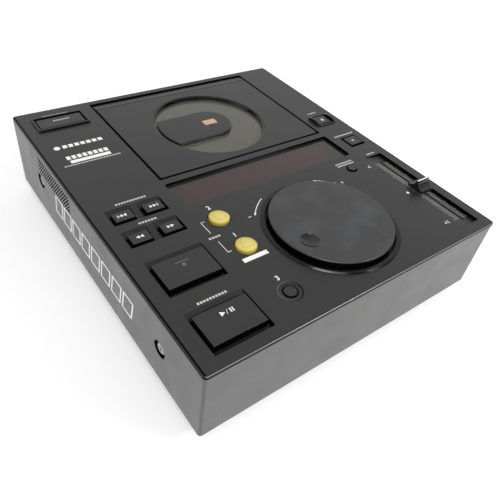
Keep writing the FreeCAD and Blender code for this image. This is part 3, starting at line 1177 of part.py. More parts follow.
def latch_lever():
    """Rocking lever from the open button's stem to the nose beside the lid catch."""
    nose_z = CATCH_Z0 + BARB_Z1 + SLIP_GAP
    nose_top = nose_z + NOSE_T
    y0, y1 = CATCH_Y - LATCH_W / 2, CATCH_Y + LATCH_W / 2
    barb_x = CATCH_X + CATCH_T / 2 + CATCH_BARB
    arm = box(LATCH_X, OPEN_PX + 3.0, y0, y1, LATCH_Z - LATCH_T / 2, LATCH_Z + LATCH_T / 2)
    upright = box(LATCH_X - LATCH_T / 2, LATCH_X + LATCH_T / 2, y0, y1, LATCH_Z, nose_top)
    nose = box(barb_x + SLIP_GAP, LATCH_X + LATCH_T / 2, y0, y1, nose_z, nose_top)
    boss = cyl_y(LATCH_X, y0, y1, LATCH_Z, LATCH_BOSS_R)
    lever = join([arm, upright, nose, boss])
    return lever.cut(cyl_y(LATCH_X, y0 - 1, y1 + 1, LATCH_Z, LATCH_PIN_R + RUN_GAP))


def latch_bracket():
    """Fork under the panel that holds the latch pin, with the pin itself as a second solid."""
    y0, y1 = CATCH_Y - LATCH_W / 2 - SLIP_GAP, CATCH_Y + LATCH_W / 2 + SLIP_GAP
    cheeks = []
    for a, b in ((y0 - CHEEK_T, y0), (y1, y1 + CHEEK_T)):
        cheek = box(LATCH_X - 2.5, LATCH_X + 2.5, a, b, LATCH_Z - 2.5, UNDER_Z)
        cheeks.append(cheek.cut(cyl_y(LATCH_X, a - 1, b + 1, LATCH_Z, LATCH_PIN_R + FIT_GAP)))
    pin = cyl_y(LATCH_X, y0 - CHEEK_T, y1 + CHEEK_T, LATCH_Z, LATCH_PIN_R)
    return cheeks + [pin]


# Keys and buttons

def key_body(x, y, width, depth, rise, cell):
    """Key cap with rounded edges on a black flange that fills its cell of the well."""
    x0, x1 = x - width / 2, x + width / 2
    y0, y1 = y - depth / 2, y + depth / 2
    top = PANEL_Z + rise
    flange_top = KEY_FLANGE_Z + KEY_FLANGE_T
    cap = rounded(x0, x1, y0, y1, flange_top, top, 1.0)
    cap = cap.makeFillet(KEY_EDGE_R, edges_at(cap, top))
    cx0, cx1, cy0, cy1 = cell
    flange = box(cx0, cx1, cy0, cy1, KEY_FLANGE_Z, flange_top)
    hollow = box(x0 + KEY_WALL, x1 - KEY_WALL, y0 + KEY_WALL, y1 - KEY_WALL, KEY_FLANGE_Z - 1, top - KEY_WALL)
    return join([cap, flange]).cut(hollow), hollow


def pivot_key(x, well_y0, well_d, width, depth, front_gap, rise, angle, cell_x0, cell_x1):
    """Key that rocks on a rod along the back of its well."""
    y0 = well_y0 + front_gap
    back = well_y0 + well_d
    cell = (cell_x0 + MOVE_GAP, cell_x1 - MOVE_GAP, well_y0 + MOVE_GAP, back - SLOPE_RUN - MOVE_GAP)
    body, hollow = key_body(x, y0 + depth / 2, width, depth, rise, cell)
    rod_y = rod_place(back)
    solids = [body]
    for ear_x in (cell[0], cell[1] - KEY_EAR_W):
        ear = box(ear_x, ear_x + KEY_EAR_W, rod_y - 9.0, rod_y, KEY_ROD_Z - 1.2, KEY_FLANGE_Z)
        solids += [ear, cyl_x(ear_x, ear_x + KEY_EAR_W, rod_y, KEY_ROD_Z, KEY_BOSS_R)]
    stem_y = well_y0 + well_d * KEY_PLUNGER_AT
    travel = (rod_y - stem_y + KEY_PLUNGER_R) * math.sin(math.radians(angle))
    web = box(cell[0], cell[1], stem_y - 1.0, stem_y + 1.0, KEY_FLANGE_Z - 1.5, KEY_FLANGE_Z + KEY_FLANGE_T)
    solids.append(web)
    solids.append(cyl(x, stem_y, SWITCH_TOP + travel + SLIP_GAP, KEY_FLANGE_Z + 0.5, KEY_PLUNGER_R))
    body = join(solids)
    return body.cut(cyl_x(cell[0] - 1, cell[1] + 1, rod_y, KEY_ROD_Z, KEY_ROD_R + RUN_GAP))


def big_key(name):
    return pivot_key(WELL_X, BIG_WELLS[name], BIG_WELL_D, BIG_KEY_W, BIG_KEY_D, BIG_KEY_FRONT_GAP,
                     BIG_KEY_RISE, BIG_KEY_ANGLE, WELL_X0, WELL_X1)


def small_key_x(side):
    cell = (WELL_W - RIDGE_W) / 2
    return WELL_X + side * (RIDGE_W / 2 + cell / 2 - SMALL_KEY_SHIFT)


def small_key(name, side):
    edge = WELL_X + side * RIDGE_W / 2
    x0, x1 = (WELL_X0, edge) if side < 0 else (edge, WELL_X1)
    return pivot_key(small_key_x(side), SMALL_WELLS[name], SMALL_WELL_D, SMALL_KEY_W, SMALL_KEY_D,
                     SMALL_KEY_FRONT_GAP, SMALL_KEY_RISE, SMALL_KEY_ANGLE, x0, x1)


def stem_parts(x, y, travel, flange):
    """Flange that stops a button under the panel, and the stem down to its switch."""
    flange_top = UNDER_Z - SLIP_GAP
    stem = cyl(x, y, SWITCH_TOP + travel + SLIP_GAP, flange_top - BUTTON_FLANGE_T / 2, BUTTON_STEM_R)
    return [flange(flange_top - BUTTON_FLANGE_T, flange_top), stem]


def loop_button(name):
    """Translucent domed button."""
    y = LOOP_PLACES[name]
    rim = PANEL_Z + LOOP_RIM
    crown = LOOP_RISE - LOOP_RIM
    ball = (LOOP_R ** 2 + crown ** 2) / (2 * crown)
    dome = Part.makeSphere(ball, Vector(LOOP_PX, y, PANEL_Z + LOOP_RISE - ball))
    dome = dome.common(cyl(LOOP_PX, y, rim - 0.01, PANEL_Z + LOOP_RISE + 1, LOOP_R + 1))
    low = UNDER_Z - SLIP_GAP - BUTTON_FLANGE_T
    barrel = cyl(LOOP_PX, y, low, rim, LOOP_R)

    def flange(z0, z1):
        return cyl(LOOP_PX, y, z0, z1, LOOP_HOLE_R + BUTTON_FLANGE)

    return join([barrel, dome] + stem_parts(LOOP_PX, y, BUTTON_TRAVEL, flange))


def round_button(x, y, r, hole_r, top):
    cap = cyl(x, y, UNDER_Z - SLIP_GAP - BUTTON_FLANGE_T, top, r)
    cap = cap.makeFillet(0.5, edges_at(cap, top))

    def flange(z0, z1):
        return cyl(x, y, z0, z1, hole_r + BUTTON_FLANGE)

    return join([cap] + stem_parts(x, y, BUTTON_TRAVEL, flange))


def reloop_button():
    return round_button(LOOP_PX, RELOOP_PY, RELOOP_R, RELOOP_HOLE_R, PANEL_Z - RELOOP_DISH_DEPTH + 1.4)


def time_button():
    return round_button(TIME_PX, TIME_PY, TIME_R, TIME_HOLE_R, PANEL_Z + TIME_RISE)


def square_button(x, y, width, depth, well_w, well_d, rise, travel):
    top = PANEL_Z + rise
    cap = rounded(x - width / 2, x + width / 2, y - depth / 2, y + depth / 2,
                  UNDER_Z - SLIP_GAP - BUTTON_FLANGE_T, top, 0.8)
    cap = cap.makeFillet(0.6, edges_at(cap, top))

    def flange(z0, z1):
        return block(x, y, well_w + 2 * BUTTON_FLANGE, well_d + 2 * BUTTON_FLANGE, z0, z1)

    return join([cap] + stem_parts(x, y, travel, flange))


def master_tempo_button():
    return square_button(MASTER_PX, MASTER_PY, MASTER_W, MASTER_D, MASTER_WELL_W, MASTER_WELL_D,
                         MASTER_RISE, BUTTON_TRAVEL)


def open_button():
    """Push button inside the guard; its stem stands over the latch lever."""
    well_w, well_d = GUARD_W - 2 * GUARD_WALL, GUARD_D - 2 * GUARD_WALL
    top = PANEL_Z + OPEN_RISE
    cap = rounded(OPEN_PX - OPEN_W / 2, OPEN_PX + OPEN_W / 2, OPEN_PY - OPEN_D / 2, OPEN_PY + OPEN_D / 2,
                  UNDER_Z - SLIP_GAP - BUTTON_FLANGE_T, top, 1.5)
    cap = cap.makeFillet(0.6, edges_at(cap, top))
    flange = block(OPEN_PX, OPEN_PY, well_w + 2 * BUTTON_FLANGE - 2, well_d + 2 * BUTTON_FLANGE - 2,
                   UNDER_Z - SLIP_GAP - BUTTON_FLANGE_T, UNDER_Z - SLIP_GAP)
    lever_top = LATCH_Z + LATCH_T / 2
    stem = cyl(OPEN_PX, CATCH_Y, lever_top + LATCH_PLAY, UNDER_Z - SLIP_GAP - 0.5, BUTTON_STEM_R)
    return join([cap, flange, stem])


def power_button():
    return square_button(POWER_PX, POWER_PY, POWER_W, POWER_D, BEZEL_W - 2 * BEZEL_WALL,
                         BEZEL_D - 2 * BEZEL_WALL, POWER_RISE, POWER_TRAVEL)


def power_bezel():
    outer = rounded(POWER_PX - BEZEL_W / 2, POWER_PX + BEZEL_W / 2, POWER_PY - BEZEL_D / 2,
                    POWER_PY + BEZEL_D / 2, PANEL_Z, PANEL_Z + BEZEL_H, 1.5)
    outer = outer.makeFillet(0.7, edges_at(outer, PANEL_Z + BEZEL_H))
    sleeve_inset = 2 * (BEZEL_WALL - BEZEL_SLEEVE)
    sleeve = block(POWER_PX, POWER_PY, BEZEL_W - sleeve_inset, BEZEL_D - sleeve_inset,
                   PANEL_Z - BEZEL_FOOT, PANEL_Z)
    inner = rounded(POWER_PX - BEZEL_W / 2 + BEZEL_WALL, POWER_PX + BEZEL_W / 2 - BEZEL_WALL,
                    POWER_PY - BEZEL_D / 2 + BEZEL_WALL, POWER_PY + BEZEL_D / 2 - BEZEL_WALL,
                    PANEL_Z - BEZEL_FOOT - 1, PANEL_Z + BEZEL_H + 1, 0.8)
    return join([outer, sleeve]).cut(inner)


def open_guard():
    """Raised frame round the open button with arched side walls."""
    x0, x1 = OPEN_PX - GUARD_W / 2, OPEN_PX + GUARD_W / 2
    y0, y1 = OPEN_PY - GUARD_D / 2, OPEN_PY + GUARD_D / 2
    frame = rounded(x0, x1, y0, y1, PANEL_Z, PANEL_Z + GUARD_H, 2.0)
    half = GUARD_D / 2
    lift = GUARD_H - GUARD_LOW_H
    ball = (half ** 2 + lift ** 2) / (2 * lift)
    arch = cyl_x(x0 - 1, x1 + 1, OPEN_PY, PANEL_Z + GUARD_H - ball, ball)
    frame = frame.common(arch)
    lane = box(x0 + GUARD_WALL, x1 - GUARD_WALL, y0 - 1, y1 + 1, PANEL_Z + GUARD_LOW_H, PANEL_Z + GUARD_H + 1)
    hole = block(OPEN_PX, OPEN_PY, GUARD_W - 2 * GUARD_WALL, GUARD_D - 2 * GUARD_WALL,
                 PANEL_Z - 1, PANEL_Z + GUARD_H + 1)
    return frame.cut(lane).cut(hole)


# Jog dial

def jog_dial():
    """Platter with a rounded rim, hollow underneath, with a finger dimple."""
    under = JOG_TOP - JOG_TOP_T
    disc = cyl(CENTRE_X, JOG_PY, JOG_BOTTOM, JOG_TOP, JOG_R)
    disc = disc.makeFillet(JOG_EDGE_R, edges_at(disc, JOG_TOP))
    hollow = cyl(CENTRE_X, JOG_PY, JOG_BOTTOM - 1, under, JOG_R - JOG_RIM_T)
    hollow = hollow.cut(cyl(CENTRE_X, JOG_PY, JOG_BOTTOM - 2, under + 1, JOG_HUB_R))
    ball = (DIMPLE_R ** 2 + DIMPLE_DEPTH ** 2) / (2 * DIMPLE_DEPTH)
    place = Vector(CENTRE_X + DIMPLE_X, JOG_PY + DIMPLE_Y, JOG_TOP - DIMPLE_DEPTH + ball)
    dial = disc.cut(hollow).cut(Part.makeSphere(ball, place))
    hub_room = cyl(CENTRE_X, JOG_PY, JOG_BOTTOM - 1, BEARING_TOP + SLIP_GAP, JOG_HUB_R + 1)
    dial = dial.cut(hub_room)
    return dial.cut(cyl(CENTRE_X, JOG_PY, JOG_BOTTOM - 1, SHAFT_TOP, JOG_SHAFT_R + FIT_GAP))


def jog_shaft():
    """Shaft pressed into the dial, with the slotted timing disc at its foot."""
    disc_z = BEARING_Z - ENCODER_T - SLIP_GAP
    shaft = cyl(CENTRE_X, JOG_PY, disc_z - 1.0, SHAFT_TOP, JOG_SHAFT_R)
    wheel = cyl(CENTRE_X, JOG_PY, disc_z, disc_z + ENCODER_T, ENCODER_R)
    slots = []
    for i in range(ENCODER_SLOTS):
        slot = box(ENCODER_R - 4.0, ENCODER_R - ENCODER_SLOT_W, -ENCODER_SLOT_W / 2, ENCODER_SLOT_W / 2,
                   disc_z - 1, disc_z + ENCODER_T + 1)
        slot.rotate(Vector(0, 0, 0), Vector(0, 0, 1), 360.0 * i / ENCODER_SLOTS)
        slot.translate(Vector(CENTRE_X, JOG_PY, 0))
        slots.append(slot)
    return join([shaft, wheel.cut(Part.makeCompound(slots))])


def jog_bearing():
    tube = cyl(CENTRE_X, JOG_PY, BEARING_Z, BEARING_TOP, BEARING_R)
    flange = cyl(CENTRE_X, JOG_PY, JOG_FLOOR, JOG_FLOOR + BEARING_FLANGE_T, BEARING_FLANGE_R)
    bore = cyl(CENTRE_X, JOG_PY, BEARING_Z - 1, BEARING_TOP + 1, JOG_SHAFT_R + RUN_GAP)
    return join([tube, flange]).cut(bore)


# Tempo slider

def tempo_scale():
    """Insert with a floor that slopes down to the right, slotted for the lever."""
    g = STATIC_GAP / 2
    x0, x1 = TEMPO_X0 + g, TEMPO_X1 - g
    points = [(x0, TEMPO_SEAT), (x1, TEMPO_SEAT), (x1, PANEL_Z - TEMPO_DEPTH), (x0, PANEL_Z - 0.1)]
    body = prism_y(points, TEMPO_Y0 + g, TEMPO_Y1 - g)
    slot = box(SLOT_PX - SLOT_W / 2, SLOT_PX + SLOT_W / 2, SLOT_PY - SLOT_LENGTH / 2,
               SLOT_PY + SLOT_LENGTH / 2, TEMPO_SEAT - 1, PANEL_Z + 1)
    return body.cut(slot)


def tempo_slider():
    """Case of the slide control under the insert."""
    y0, y1 = SLOT_PY - SLOT_LENGTH / 2 - 8.0, SLOT_PY + SLOT_LENGTH / 2 + 8.0
    case = box(SLOT_PX - SLIDER_W / 2, SLOT_PX + SLIDER_W / 2, y0, y1, SLIDER_TOP - SLIDER_H, SLIDER_TOP)
    track = box(SLOT_PX - SLOT_W / 2, SLOT_PX + SLOT_W / 2, SLOT_PY - SLOT_LENGTH / 2,
                SLOT_PY + SLOT_LENGTH / 2, SLIDER_TOP - SLIDER_H + 1.5, SLIDER_TOP + 1)
    ends = [block(SLOT_PX, y, TEMPO_W, 4.0, SLIDER_TOP - 1.5, SLIDER_TOP) for y in (y0 + 2, y1 - 2)]
    return join([case] + ends).cut(track)


def tempo_knob():
    """Cap with a raised ridge and scooped ends, on the slide control's lever."""
    base = PANEL_Z + KNOB_BASE_UP
    top = PANEL_Z + KNOB_TOP_UP
    end = PANEL_Z + KNOB_END_UP
    half = KNOB_L / 2
    ridge_half = KNOB_RIDGE / 2
    y = SLOT_PY

    def at(side, dy, z):
        return Vector(SLOT_PX - KNOB_W / 2, y + side * dy, z)

    def scoop(side):
        middle = at(side, half * 0.42, end + (top - end) * 0.22)
        return Part.Arc(at(side, half - 0.8, end), middle, at(side, ridge_half, top)).toShape()

    edges = [
        Part.makeLine(at(-1, half, base), at(1, half, base)),
        Part.makeLine(at(1, half, base), at(1, half - 0.8, end)),
        scoop(1),
        Part.makeLine(at(1, ridge_half, top), at(-1, ridge_half, top)),
        scoop(-1),
        Part.makeLine(at(-1, half - 0.8, end), at(-1, half, base)),
    ]
    wire = Part.Wire(Part.__sortEdges__(edges))
    cap = Part.Face(wire).extrude(Vector(KNOB_W, 0, 0))
    lever = block(SLOT_PX, SLOT_PY, LEVER_T, LEVER_L, PANEL_Z - LEVER_DOWN, base)
    return join([cap, lever])


# Display

def display_window():
    g = DISPLAY_LEDGE
    return box(DISPLAY_X0 - g, DISPLAY_X1 + g, DISPLAY_Y0 - g, DISPLAY_Y1 + g,
               UNDER_Z - DISPLAY_GLASS_T, UNDER_Z)


def display_tube():
    x0, x1 = DISPLAY_X0 + TUBE_INSET_X, DISPLAY_X1 - TUBE_INSET_X
    y0, y1 = DISPLAY_Y0 + TUBE_INSET_Y, DISPLAY_Y1 - TUBE_INSET_Y
    return rounded(x0, x1, y0, y1, DISPLAY_BOARD_Z, DISPLAY_BOARD_Z + TUBE_H, 1.5)


def control_boards():
    """Boards hung under the panel: display, keys, jog sensor and right side."""
    xs = [p[0] for p in DISPLAY_POSTS]
    display = box(min(xs) - POST_R, max(xs) + POST_R, DISPLAY_Y0 - 3.0, DISPLAY_Y1 + 3.0,
                  DISPLAY_BOARD_Z - BOARD_T, DISPLAY_BOARD_Z)
    z0, z1 = BOARD_Z - BOARD_T, BOARD_Z
    left = box(LEFT_POSTS_X[0] - POST_R - 1, LOOP_PX + LOOP_HOLE_R + 2, LEFT_POSTS_Y[0] - POST_R - 1,
               TRACK_WELL_Y + SMALL_WELL_D, z0, z1)
    jog_xs = [p[0] for p in JOG_POSTS]
    jog_ys = [p[1] for p in JOG_POSTS]
    jog = box(min(jog_xs) - POST_R - 1, TIME_PX + 8, min(jog_ys) - POST_R - 1, max(jog_ys) + POST_R + 1,
              z0, z1)
    right_xs = [p[0] for p in RIGHT_POSTS]
    right_ys = [p[1] for p in RIGHT_POSTS]
    right = box(min(right_xs) - POST_R - 1, max(right_xs) + POST_R + 1, min(right_ys) - POST_R - 1,
                max(right_ys) + POST_R + 1, z0, z1)
    return [display, left, jog, right] + board_spacers()


def switch_places():
    places = []
    for y0 in BIG_WELLS.values():
        places.append((WELL_X, y0 + BIG_WELL_D * KEY_PLUNGER_AT))
    for y0 in SMALL_WELLS.values():
        for side in (-1, 1):
            places.append((small_key_x(side), y0 + SMALL_WELL_D * KEY_PLUNGER_AT))
    places += [(LOOP_PX, y) for y in LOOP_PLACES.values()]
    places += [(LOOP_PX, RELOOP_PY), (TIME_PX, TIME_PY), (MASTER_PX, MASTER_PY)]
    return places


def key_switches():
    """Push switches under the keys, and the sensor that reads the timing disc."""
    solids = []
    for x, y in switch_places():
        base = block(x, y, SWITCH_SIZE, SWITCH_SIZE, BOARD_Z, BOARD_Z + SWITCH_H - 0.8)
        solids.append(join([base, cyl(x, y, BOARD_Z + SWITCH_H - 1.0, SWITCH_TOP, 1.6)]))
    solids.append(block(CENTRE_X + ENCODER_R - 2, JOG_PY, 6.0, 8.0, BOARD_Z, BOARD_Z + 1.2))
    return solids


def power_switch():
    """Mains switch on a small bracket hung from the panel by two spacers."""
    z1 = BOARD_Z
    xs = [p[0] for p in SWITCH_POSTS]
    bracket = box(min(xs) - POST_R - 1, max(xs) + POST_R + 1, POWER_PY - MAINS_SWITCH_D / 2,
                  POWER_PY + MAINS_SWITCH_D / 2, z1 - BOARD_T, z1)
    body = block(POWER_PX, POWER_PY, MAINS_SWITCH_W, MAINS_SWITCH_D, z1 - BOARD_T - MAINS_SWITCH_W,
                 SWITCH_TOP - 0.8)
    cap = cyl(POWER_PX, POWER_PY, SWITCH_TOP - 1.0, SWITCH_TOP, 1.8)
    spacers = [cyl(x, y, BOARD_Z, UNDER_Z, POST_R) for x, y in SWITCH_POSTS]
    return [join([bracket, body, cap])] + spacers


# Boards on the bottom plate

def spaced_board(x0, x1, y0, y1):
    board = box(x0, x1, y0, y1, DECK_Z + SPACER_H, DECK_Z + SPACER_H + BOARD_T)
    spacers = [cyl(x, y, DECK_Z, DECK_Z + SPACER_H, SPACER_R)
               for x in (x0 + SPACER_INSET, x1 - SPACER_INSET)
               for y in (y0 + SPACER_INSET, y1 - SPACER_INSET)]
    return [board] + spacers


def main_board():
    """Board with three rows of chips and a row of plugs along its back edge."""
    x0 = -MAIN_BOARD_X
    x1 = INNER_X - BOARD_INSET
    y0 = INNER_FRONT + BOARD_INSET
    y1 = y0 + MAIN_BOARD_D
    top = DECK_Z + SPACER_H + BOARD_T
    chips = [block(x0 + CHIP_PITCH_X * (i + 1), y0 + CHIP_PITCH_Y * (j + 0.9), CHIP, CHIP, top, top + CHIP_H)
             for i in range(4) for j in range(3)]
    plugs = [block(x0 + PLUG_PITCH * (i + 0.8), y1 - PLUG_D, PLUG_W, PLUG_D, top, top + PLUG_H)
             for i in range(5)]
    return spaced_board(x0, x1, y0, y1) + chips + plugs


def power_board_box():
    x0 = -INNER_X + BOARD_INSET
    y1 = INNER_BACK - INLET_L - BOARD_T
    return x0, x0 + POWER_BOARD_W, y1 - POWER_BOARD_D, y1


def power_board():
    """Supply board with three capacitors and a finned heat sink."""
    x0, x1, y0, y1 = power_board_box()
    top = DECK_Z + SPACER_H + BOARD_T
    cans = [cyl(x0 + CAN_PITCH * (i + 1.2), y1 - 3 * CAN_R, top, top + CAN_H, CAN_R) for i in range(3)]
    sink_y = y0 + POWER_BOARD_D * 0.3
    plate = block((x0 + x1) / 2, sink_y, FIN_PITCH * 6, 2 * FIN_T, top, top + CAN_H)
    fins = [block((x0 + x1) / 2 + FIN_PITCH * (i - 2.5), sink_y + FIN_L / 2, FIN_T, FIN_L, top, top + CAN_H)
            for i in range(6)]
    return spaced_board(x0, x1, y0, y1) + cans + [join([plate] + fins)]


def transformer():
    """Laminated core on a foot plate, with the coil through its window."""
    x0, x1, y0, y1 = power_board_box()
    x = x0 + TRANSFORMER_W / 2
    y = y0 - TRANSFORMER_BACK - TRANSFORMER_D / 2
    foot_top = DECK_Z + BRACKET_T
    core = block(x, y, TRANSFORMER_W, TRANSFORMER_D * CORE_SHARE, foot_top, foot_top + TRANSFORMER_H)
    foot = block(x, y, TRANSFORMER_W, TRANSFORMER_D, DECK_Z, foot_top)
    coil_z = TRANSFORMER_H * (1 - COIL_SHARE) / 2
    coil = rounded(x - TRANSFORMER_W * COIL_SHARE / 2, x + TRANSFORMER_W * COIL_SHARE / 2,
                   y - TRANSFORMER_D / 2, y + TRANSFORMER_D / 2,
                   foot_top + coil_z, foot_top + TRANSFORMER_H - coil_z, 3.0)
    coil = coil.cut(core)
    return [join([core, foot])] + list(coil.Solids)


# Sockets on the back

def mains_inlet():
    y1 = WRAP_BACK - 0.2
    y0 = y1 - INLET_L
    neck = block(INLET_X, (INNER_BACK + y1) / 2, INLET_W - 4.4, y1 - INNER_BACK, JACK_PZ - INLET_H / 2 + 2.2,
                 JACK_PZ + INLET_H / 2 - 2.2)
    body = box(INLET_X - INLET_W / 2, INLET_X + INLET_W / 2, y0, INNER_BACK, JACK_PZ - INLET_H / 2,
               JACK_PZ + INLET_H / 2)
    r = SOCKET_H / 2 - 0.01
    half = SOCKET_W / 2 - r
    cavity = join([cyl_y(INLET_X - half, y1 - SOCKET_DEPTH, y1 + 1, JACK_PZ, r),
                   cyl_y(INLET_X + half, y1 - SOCKET_DEPTH, y1 + 1, JACK_PZ, r),
                   box(INLET_X - half, INLET_X + half, y1 - SOCKET_DEPTH, y1 + 1, JACK_PZ - r, JACK_PZ + r)])
    shell = join([neck, body]).cut(cavity)
    pin_y0, pin_y1 = y1 - SOCKET_DEPTH - 2.0, y1 - SOCKET_PIN_BACK
    pins = [cyl_y(INLET_X + s * SOCKET_PIN_PITCH / 2, pin_y0, pin_y1, JACK_PZ, SOCKET_PIN_R)
            for s in (-1, 1)]
    return join([shell] + pins)


def phono_jacks():
    """Three phono sockets on the back of the recess."""
    solids = []
    for x, z in jack_places()[:3]:
        y0 = JACK_PLATE_Y
        barrel = cyl_y(x, y0 - CASE_WALL - JACK_BODY_D, y0 + JACK_LENGTH, z, JACK_R)
        flange = cyl_y(x, y0, y0 + JACK_FLANGE_T, z, JACK_FLANGE_R)
        rear = block(x, y0 - CASE_WALL - JACK_BODY_D / 2, JACK_BODY_W, JACK_BODY_D,
                     z - JACK_BODY_W / 2, z + JACK_BODY_W / 2)
        bore = cyl_y(x, y0 - 2.0, y0 + JACK_LENGTH + 1, z, JACK_BORE_R)
        solids.append(join([barrel, flange, rear]).cut(bore))
    return solids


def control_jack():
    x, z = jack_places()[3]
    y0 = JACK_PLATE_Y
    neck = cyl_y(x, y0 - CASE_WALL - 1.0, y0 + MINI_JACK_OUT, z, MINI_JACK_R)
    nut = cyl_y(x, y0, y0 + MINI_NUT_T, z, MINI_JACK_R + MINI_NUT_T)
    rear = block(x, y0 - CASE_WALL - MINI_BODY_D / 2, JACK_BODY_D, MINI_BODY_D,
                 z - JACK_BODY_D / 2, z + JACK_BODY_D / 2)
    bore = cyl_y(x, y0 + MINI_JACK_OUT - MINI_BORE_LEN, y0 + MINI_JACK_OUT + 1.0, z, MINI_BORE_R)
    return join([neck, nut, rear]).cut(bore)


def all_parts():
    return {
        "top_panel": [top_panel()],
        "case_wrap": [case_wrap()],
        "rear_panel": [rear_panel()],
        "bottom_plate": [bottom_plate()],
        "chassis_brackets": chassis_brackets(),
        "feet": feet(),
        "foot_pads": foot_pads(),
        "side_screws": side_screws(),
        "small_screws": small_screws(),
        "lid_plate": [lid_plate()],
        "lid_window": [lid_window()],
        "clamp_cover": [clamp_cover()],
        "lid_catch": [lid_catch()],
        "clamp_disc": [clamp_disc()],
        "hinge_pins": hinge_pins(),
        "disc_well": [disc_well()],
        "damper_bushes": damper_bushes(),
        "mech_deck": [mech_deck()],
        "guide_rods": guide_rods(),
        "spindle_motor": [spindle_motor()],
        "turntable": [turntable()],
        "sled_gear": [sled_gear()],
        "motor_pinion": [motor_pinion()],
        "sled_motor": [sled_motor()],
        "pickup_sled": [pickup_sled()],
        "pickup_lens": [pickup_lens()],
        "latch_lever": [latch_lever()],
        "latch_bracket": latch_bracket(),
        "cue_key": [big_key("cue_key")],
        "play_key": [big_key("play_key")],
        "track_back_key": [small_key("track", -1)],
        "track_forward_key": [small_key("track", 1)],
        "search_back_key": [small_key("search", -1)],
        "search_forward_key": [small_key("search", 1)],
        "key_rods": key_rods(),
        "loop_in_button": [loop_button("loop_in_button")],
        "loop_out_button": [loop_button("loop_out_button")],
        "reloop_button": [reloop_button()],
        "time_button": [time_button()],
        "master_tempo_button": [master_tempo_button()],
        "open_button": [open_button()],
        "open_guard": [open_guard()],
        "power_button": [power_button()],
        "power_bezel": [power_bezel()],
        "power_switch": power_switch(),
        "jog_dial": [jog_dial()],
        "jog_shaft": [jog_shaft()],
        "jog_bearing": [jog_bearing()],
        "tempo_scale": [tempo_scale()],
        "tempo_slider": [tempo_slider()],
        "tempo_knob": [tempo_knob()],
        "display_window": [display_window()],
        "display_tube": [display_tube()],
        "control_boards": control_boards(),
        "key_switches": key_switches(),
        "main_board": main_board(),
        "power_board": power_board(),
        "transformer": transformer(),
        "mains_inlet": [mains_inlet()],
        "rear_sockets": phono_jacks() + [control_jack()],
    }


def write_parts():
    os.makedirs("parts", exist_ok=True)
    for name, solids in all_parts().items():
        shape = solids[0] if len(solids) == 1 else Part.makeCompound(solids)
        if not shape.isValid():
            print("not valid:", name)
        shape.exportStep(os.path.join("parts", name + ".step"))
        print(name, len(shape.Solids), round(shape.Volume, 1))


write_parts()
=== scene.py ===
import math

import bmesh
import bpy
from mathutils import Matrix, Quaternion, Vector
from mathutils.bvhtree import BVHTree


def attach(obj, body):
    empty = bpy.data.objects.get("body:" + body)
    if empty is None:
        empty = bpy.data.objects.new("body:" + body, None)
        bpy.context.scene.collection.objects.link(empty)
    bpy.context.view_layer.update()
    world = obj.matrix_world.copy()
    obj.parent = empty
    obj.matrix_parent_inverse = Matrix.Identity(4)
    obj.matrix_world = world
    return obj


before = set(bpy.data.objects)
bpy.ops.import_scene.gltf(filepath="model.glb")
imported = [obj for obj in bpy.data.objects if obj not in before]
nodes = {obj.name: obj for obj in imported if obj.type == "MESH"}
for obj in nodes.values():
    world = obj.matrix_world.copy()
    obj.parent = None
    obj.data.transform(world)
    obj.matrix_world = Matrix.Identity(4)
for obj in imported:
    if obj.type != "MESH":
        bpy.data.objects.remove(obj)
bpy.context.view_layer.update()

MM = 0.001                  # lengths below are in millimetres unless they say otherwise

# ---------------------------------------------------------------- places shared with the solids
PANEL_Z = 89.5
PANEL_X = 160.0             # half width of the top panel
PANEL_Y = 180.0             # half depth of the top panel
WRAP_TOP = 86.5             # upper edge of the case wrap
SIDE_X = 159.5              # half width and half depth of the case wrap
SIDE_Y = 179.5
SCREW_Y = (-121.5, 115.0)   # side screws
SCREW_Z = 52.0
CUP_R = 7.5
CENTRE_X = 17.0             # middle of the lid, the display and the jog dial
WINDOW_Y = 88.3
WINDOW_FLOOR_R = 56.0       # where the clear floor of the window ends
JOG_Y = -105.5
JOG_TOP = 96.5
DIMPLE = (-19.5, -118.3)
DIMPLE_R = 8.8
DIMPLE_DEPTH = 3.1
LOOP_X = -64.7
LOOP_OUT_Y = -53.3
LOOP_IN_Y = -92.7
DOME_TOP_R = 8.4
RELOOP = (-64.7, -149.3)
RELOOP_DISH_R = 10.5
RELOOP_HOLE_R = 6.0
TIME = (98.0, -51.0)
TIME_HOLE_R = 5.4
LID_OPEN_X = 98.5           # half width, middle and half depth of the opening for the lid
LID_OPEN_Y = 95.0
LID_OPEN_D = 77.0
DISPLAY_X = 98.1            # half width and front edge of the display's clear part
DISPLAY_FRONT = -29.2
FILTER_X = 14.0             # middle, half width and half depth of its red filter
FILTER_Y = -9.5
FILTER_HALF_W = 86.0
FILTER_HALF_D = 13.5
TEMPO_Y = -107.25           # middle of the tempo slider's slot
KNOB_TOP = 100.0
JACK_X = (-30.0, -10.0, 10.0, 30.0)
JACK_Z = 40.0


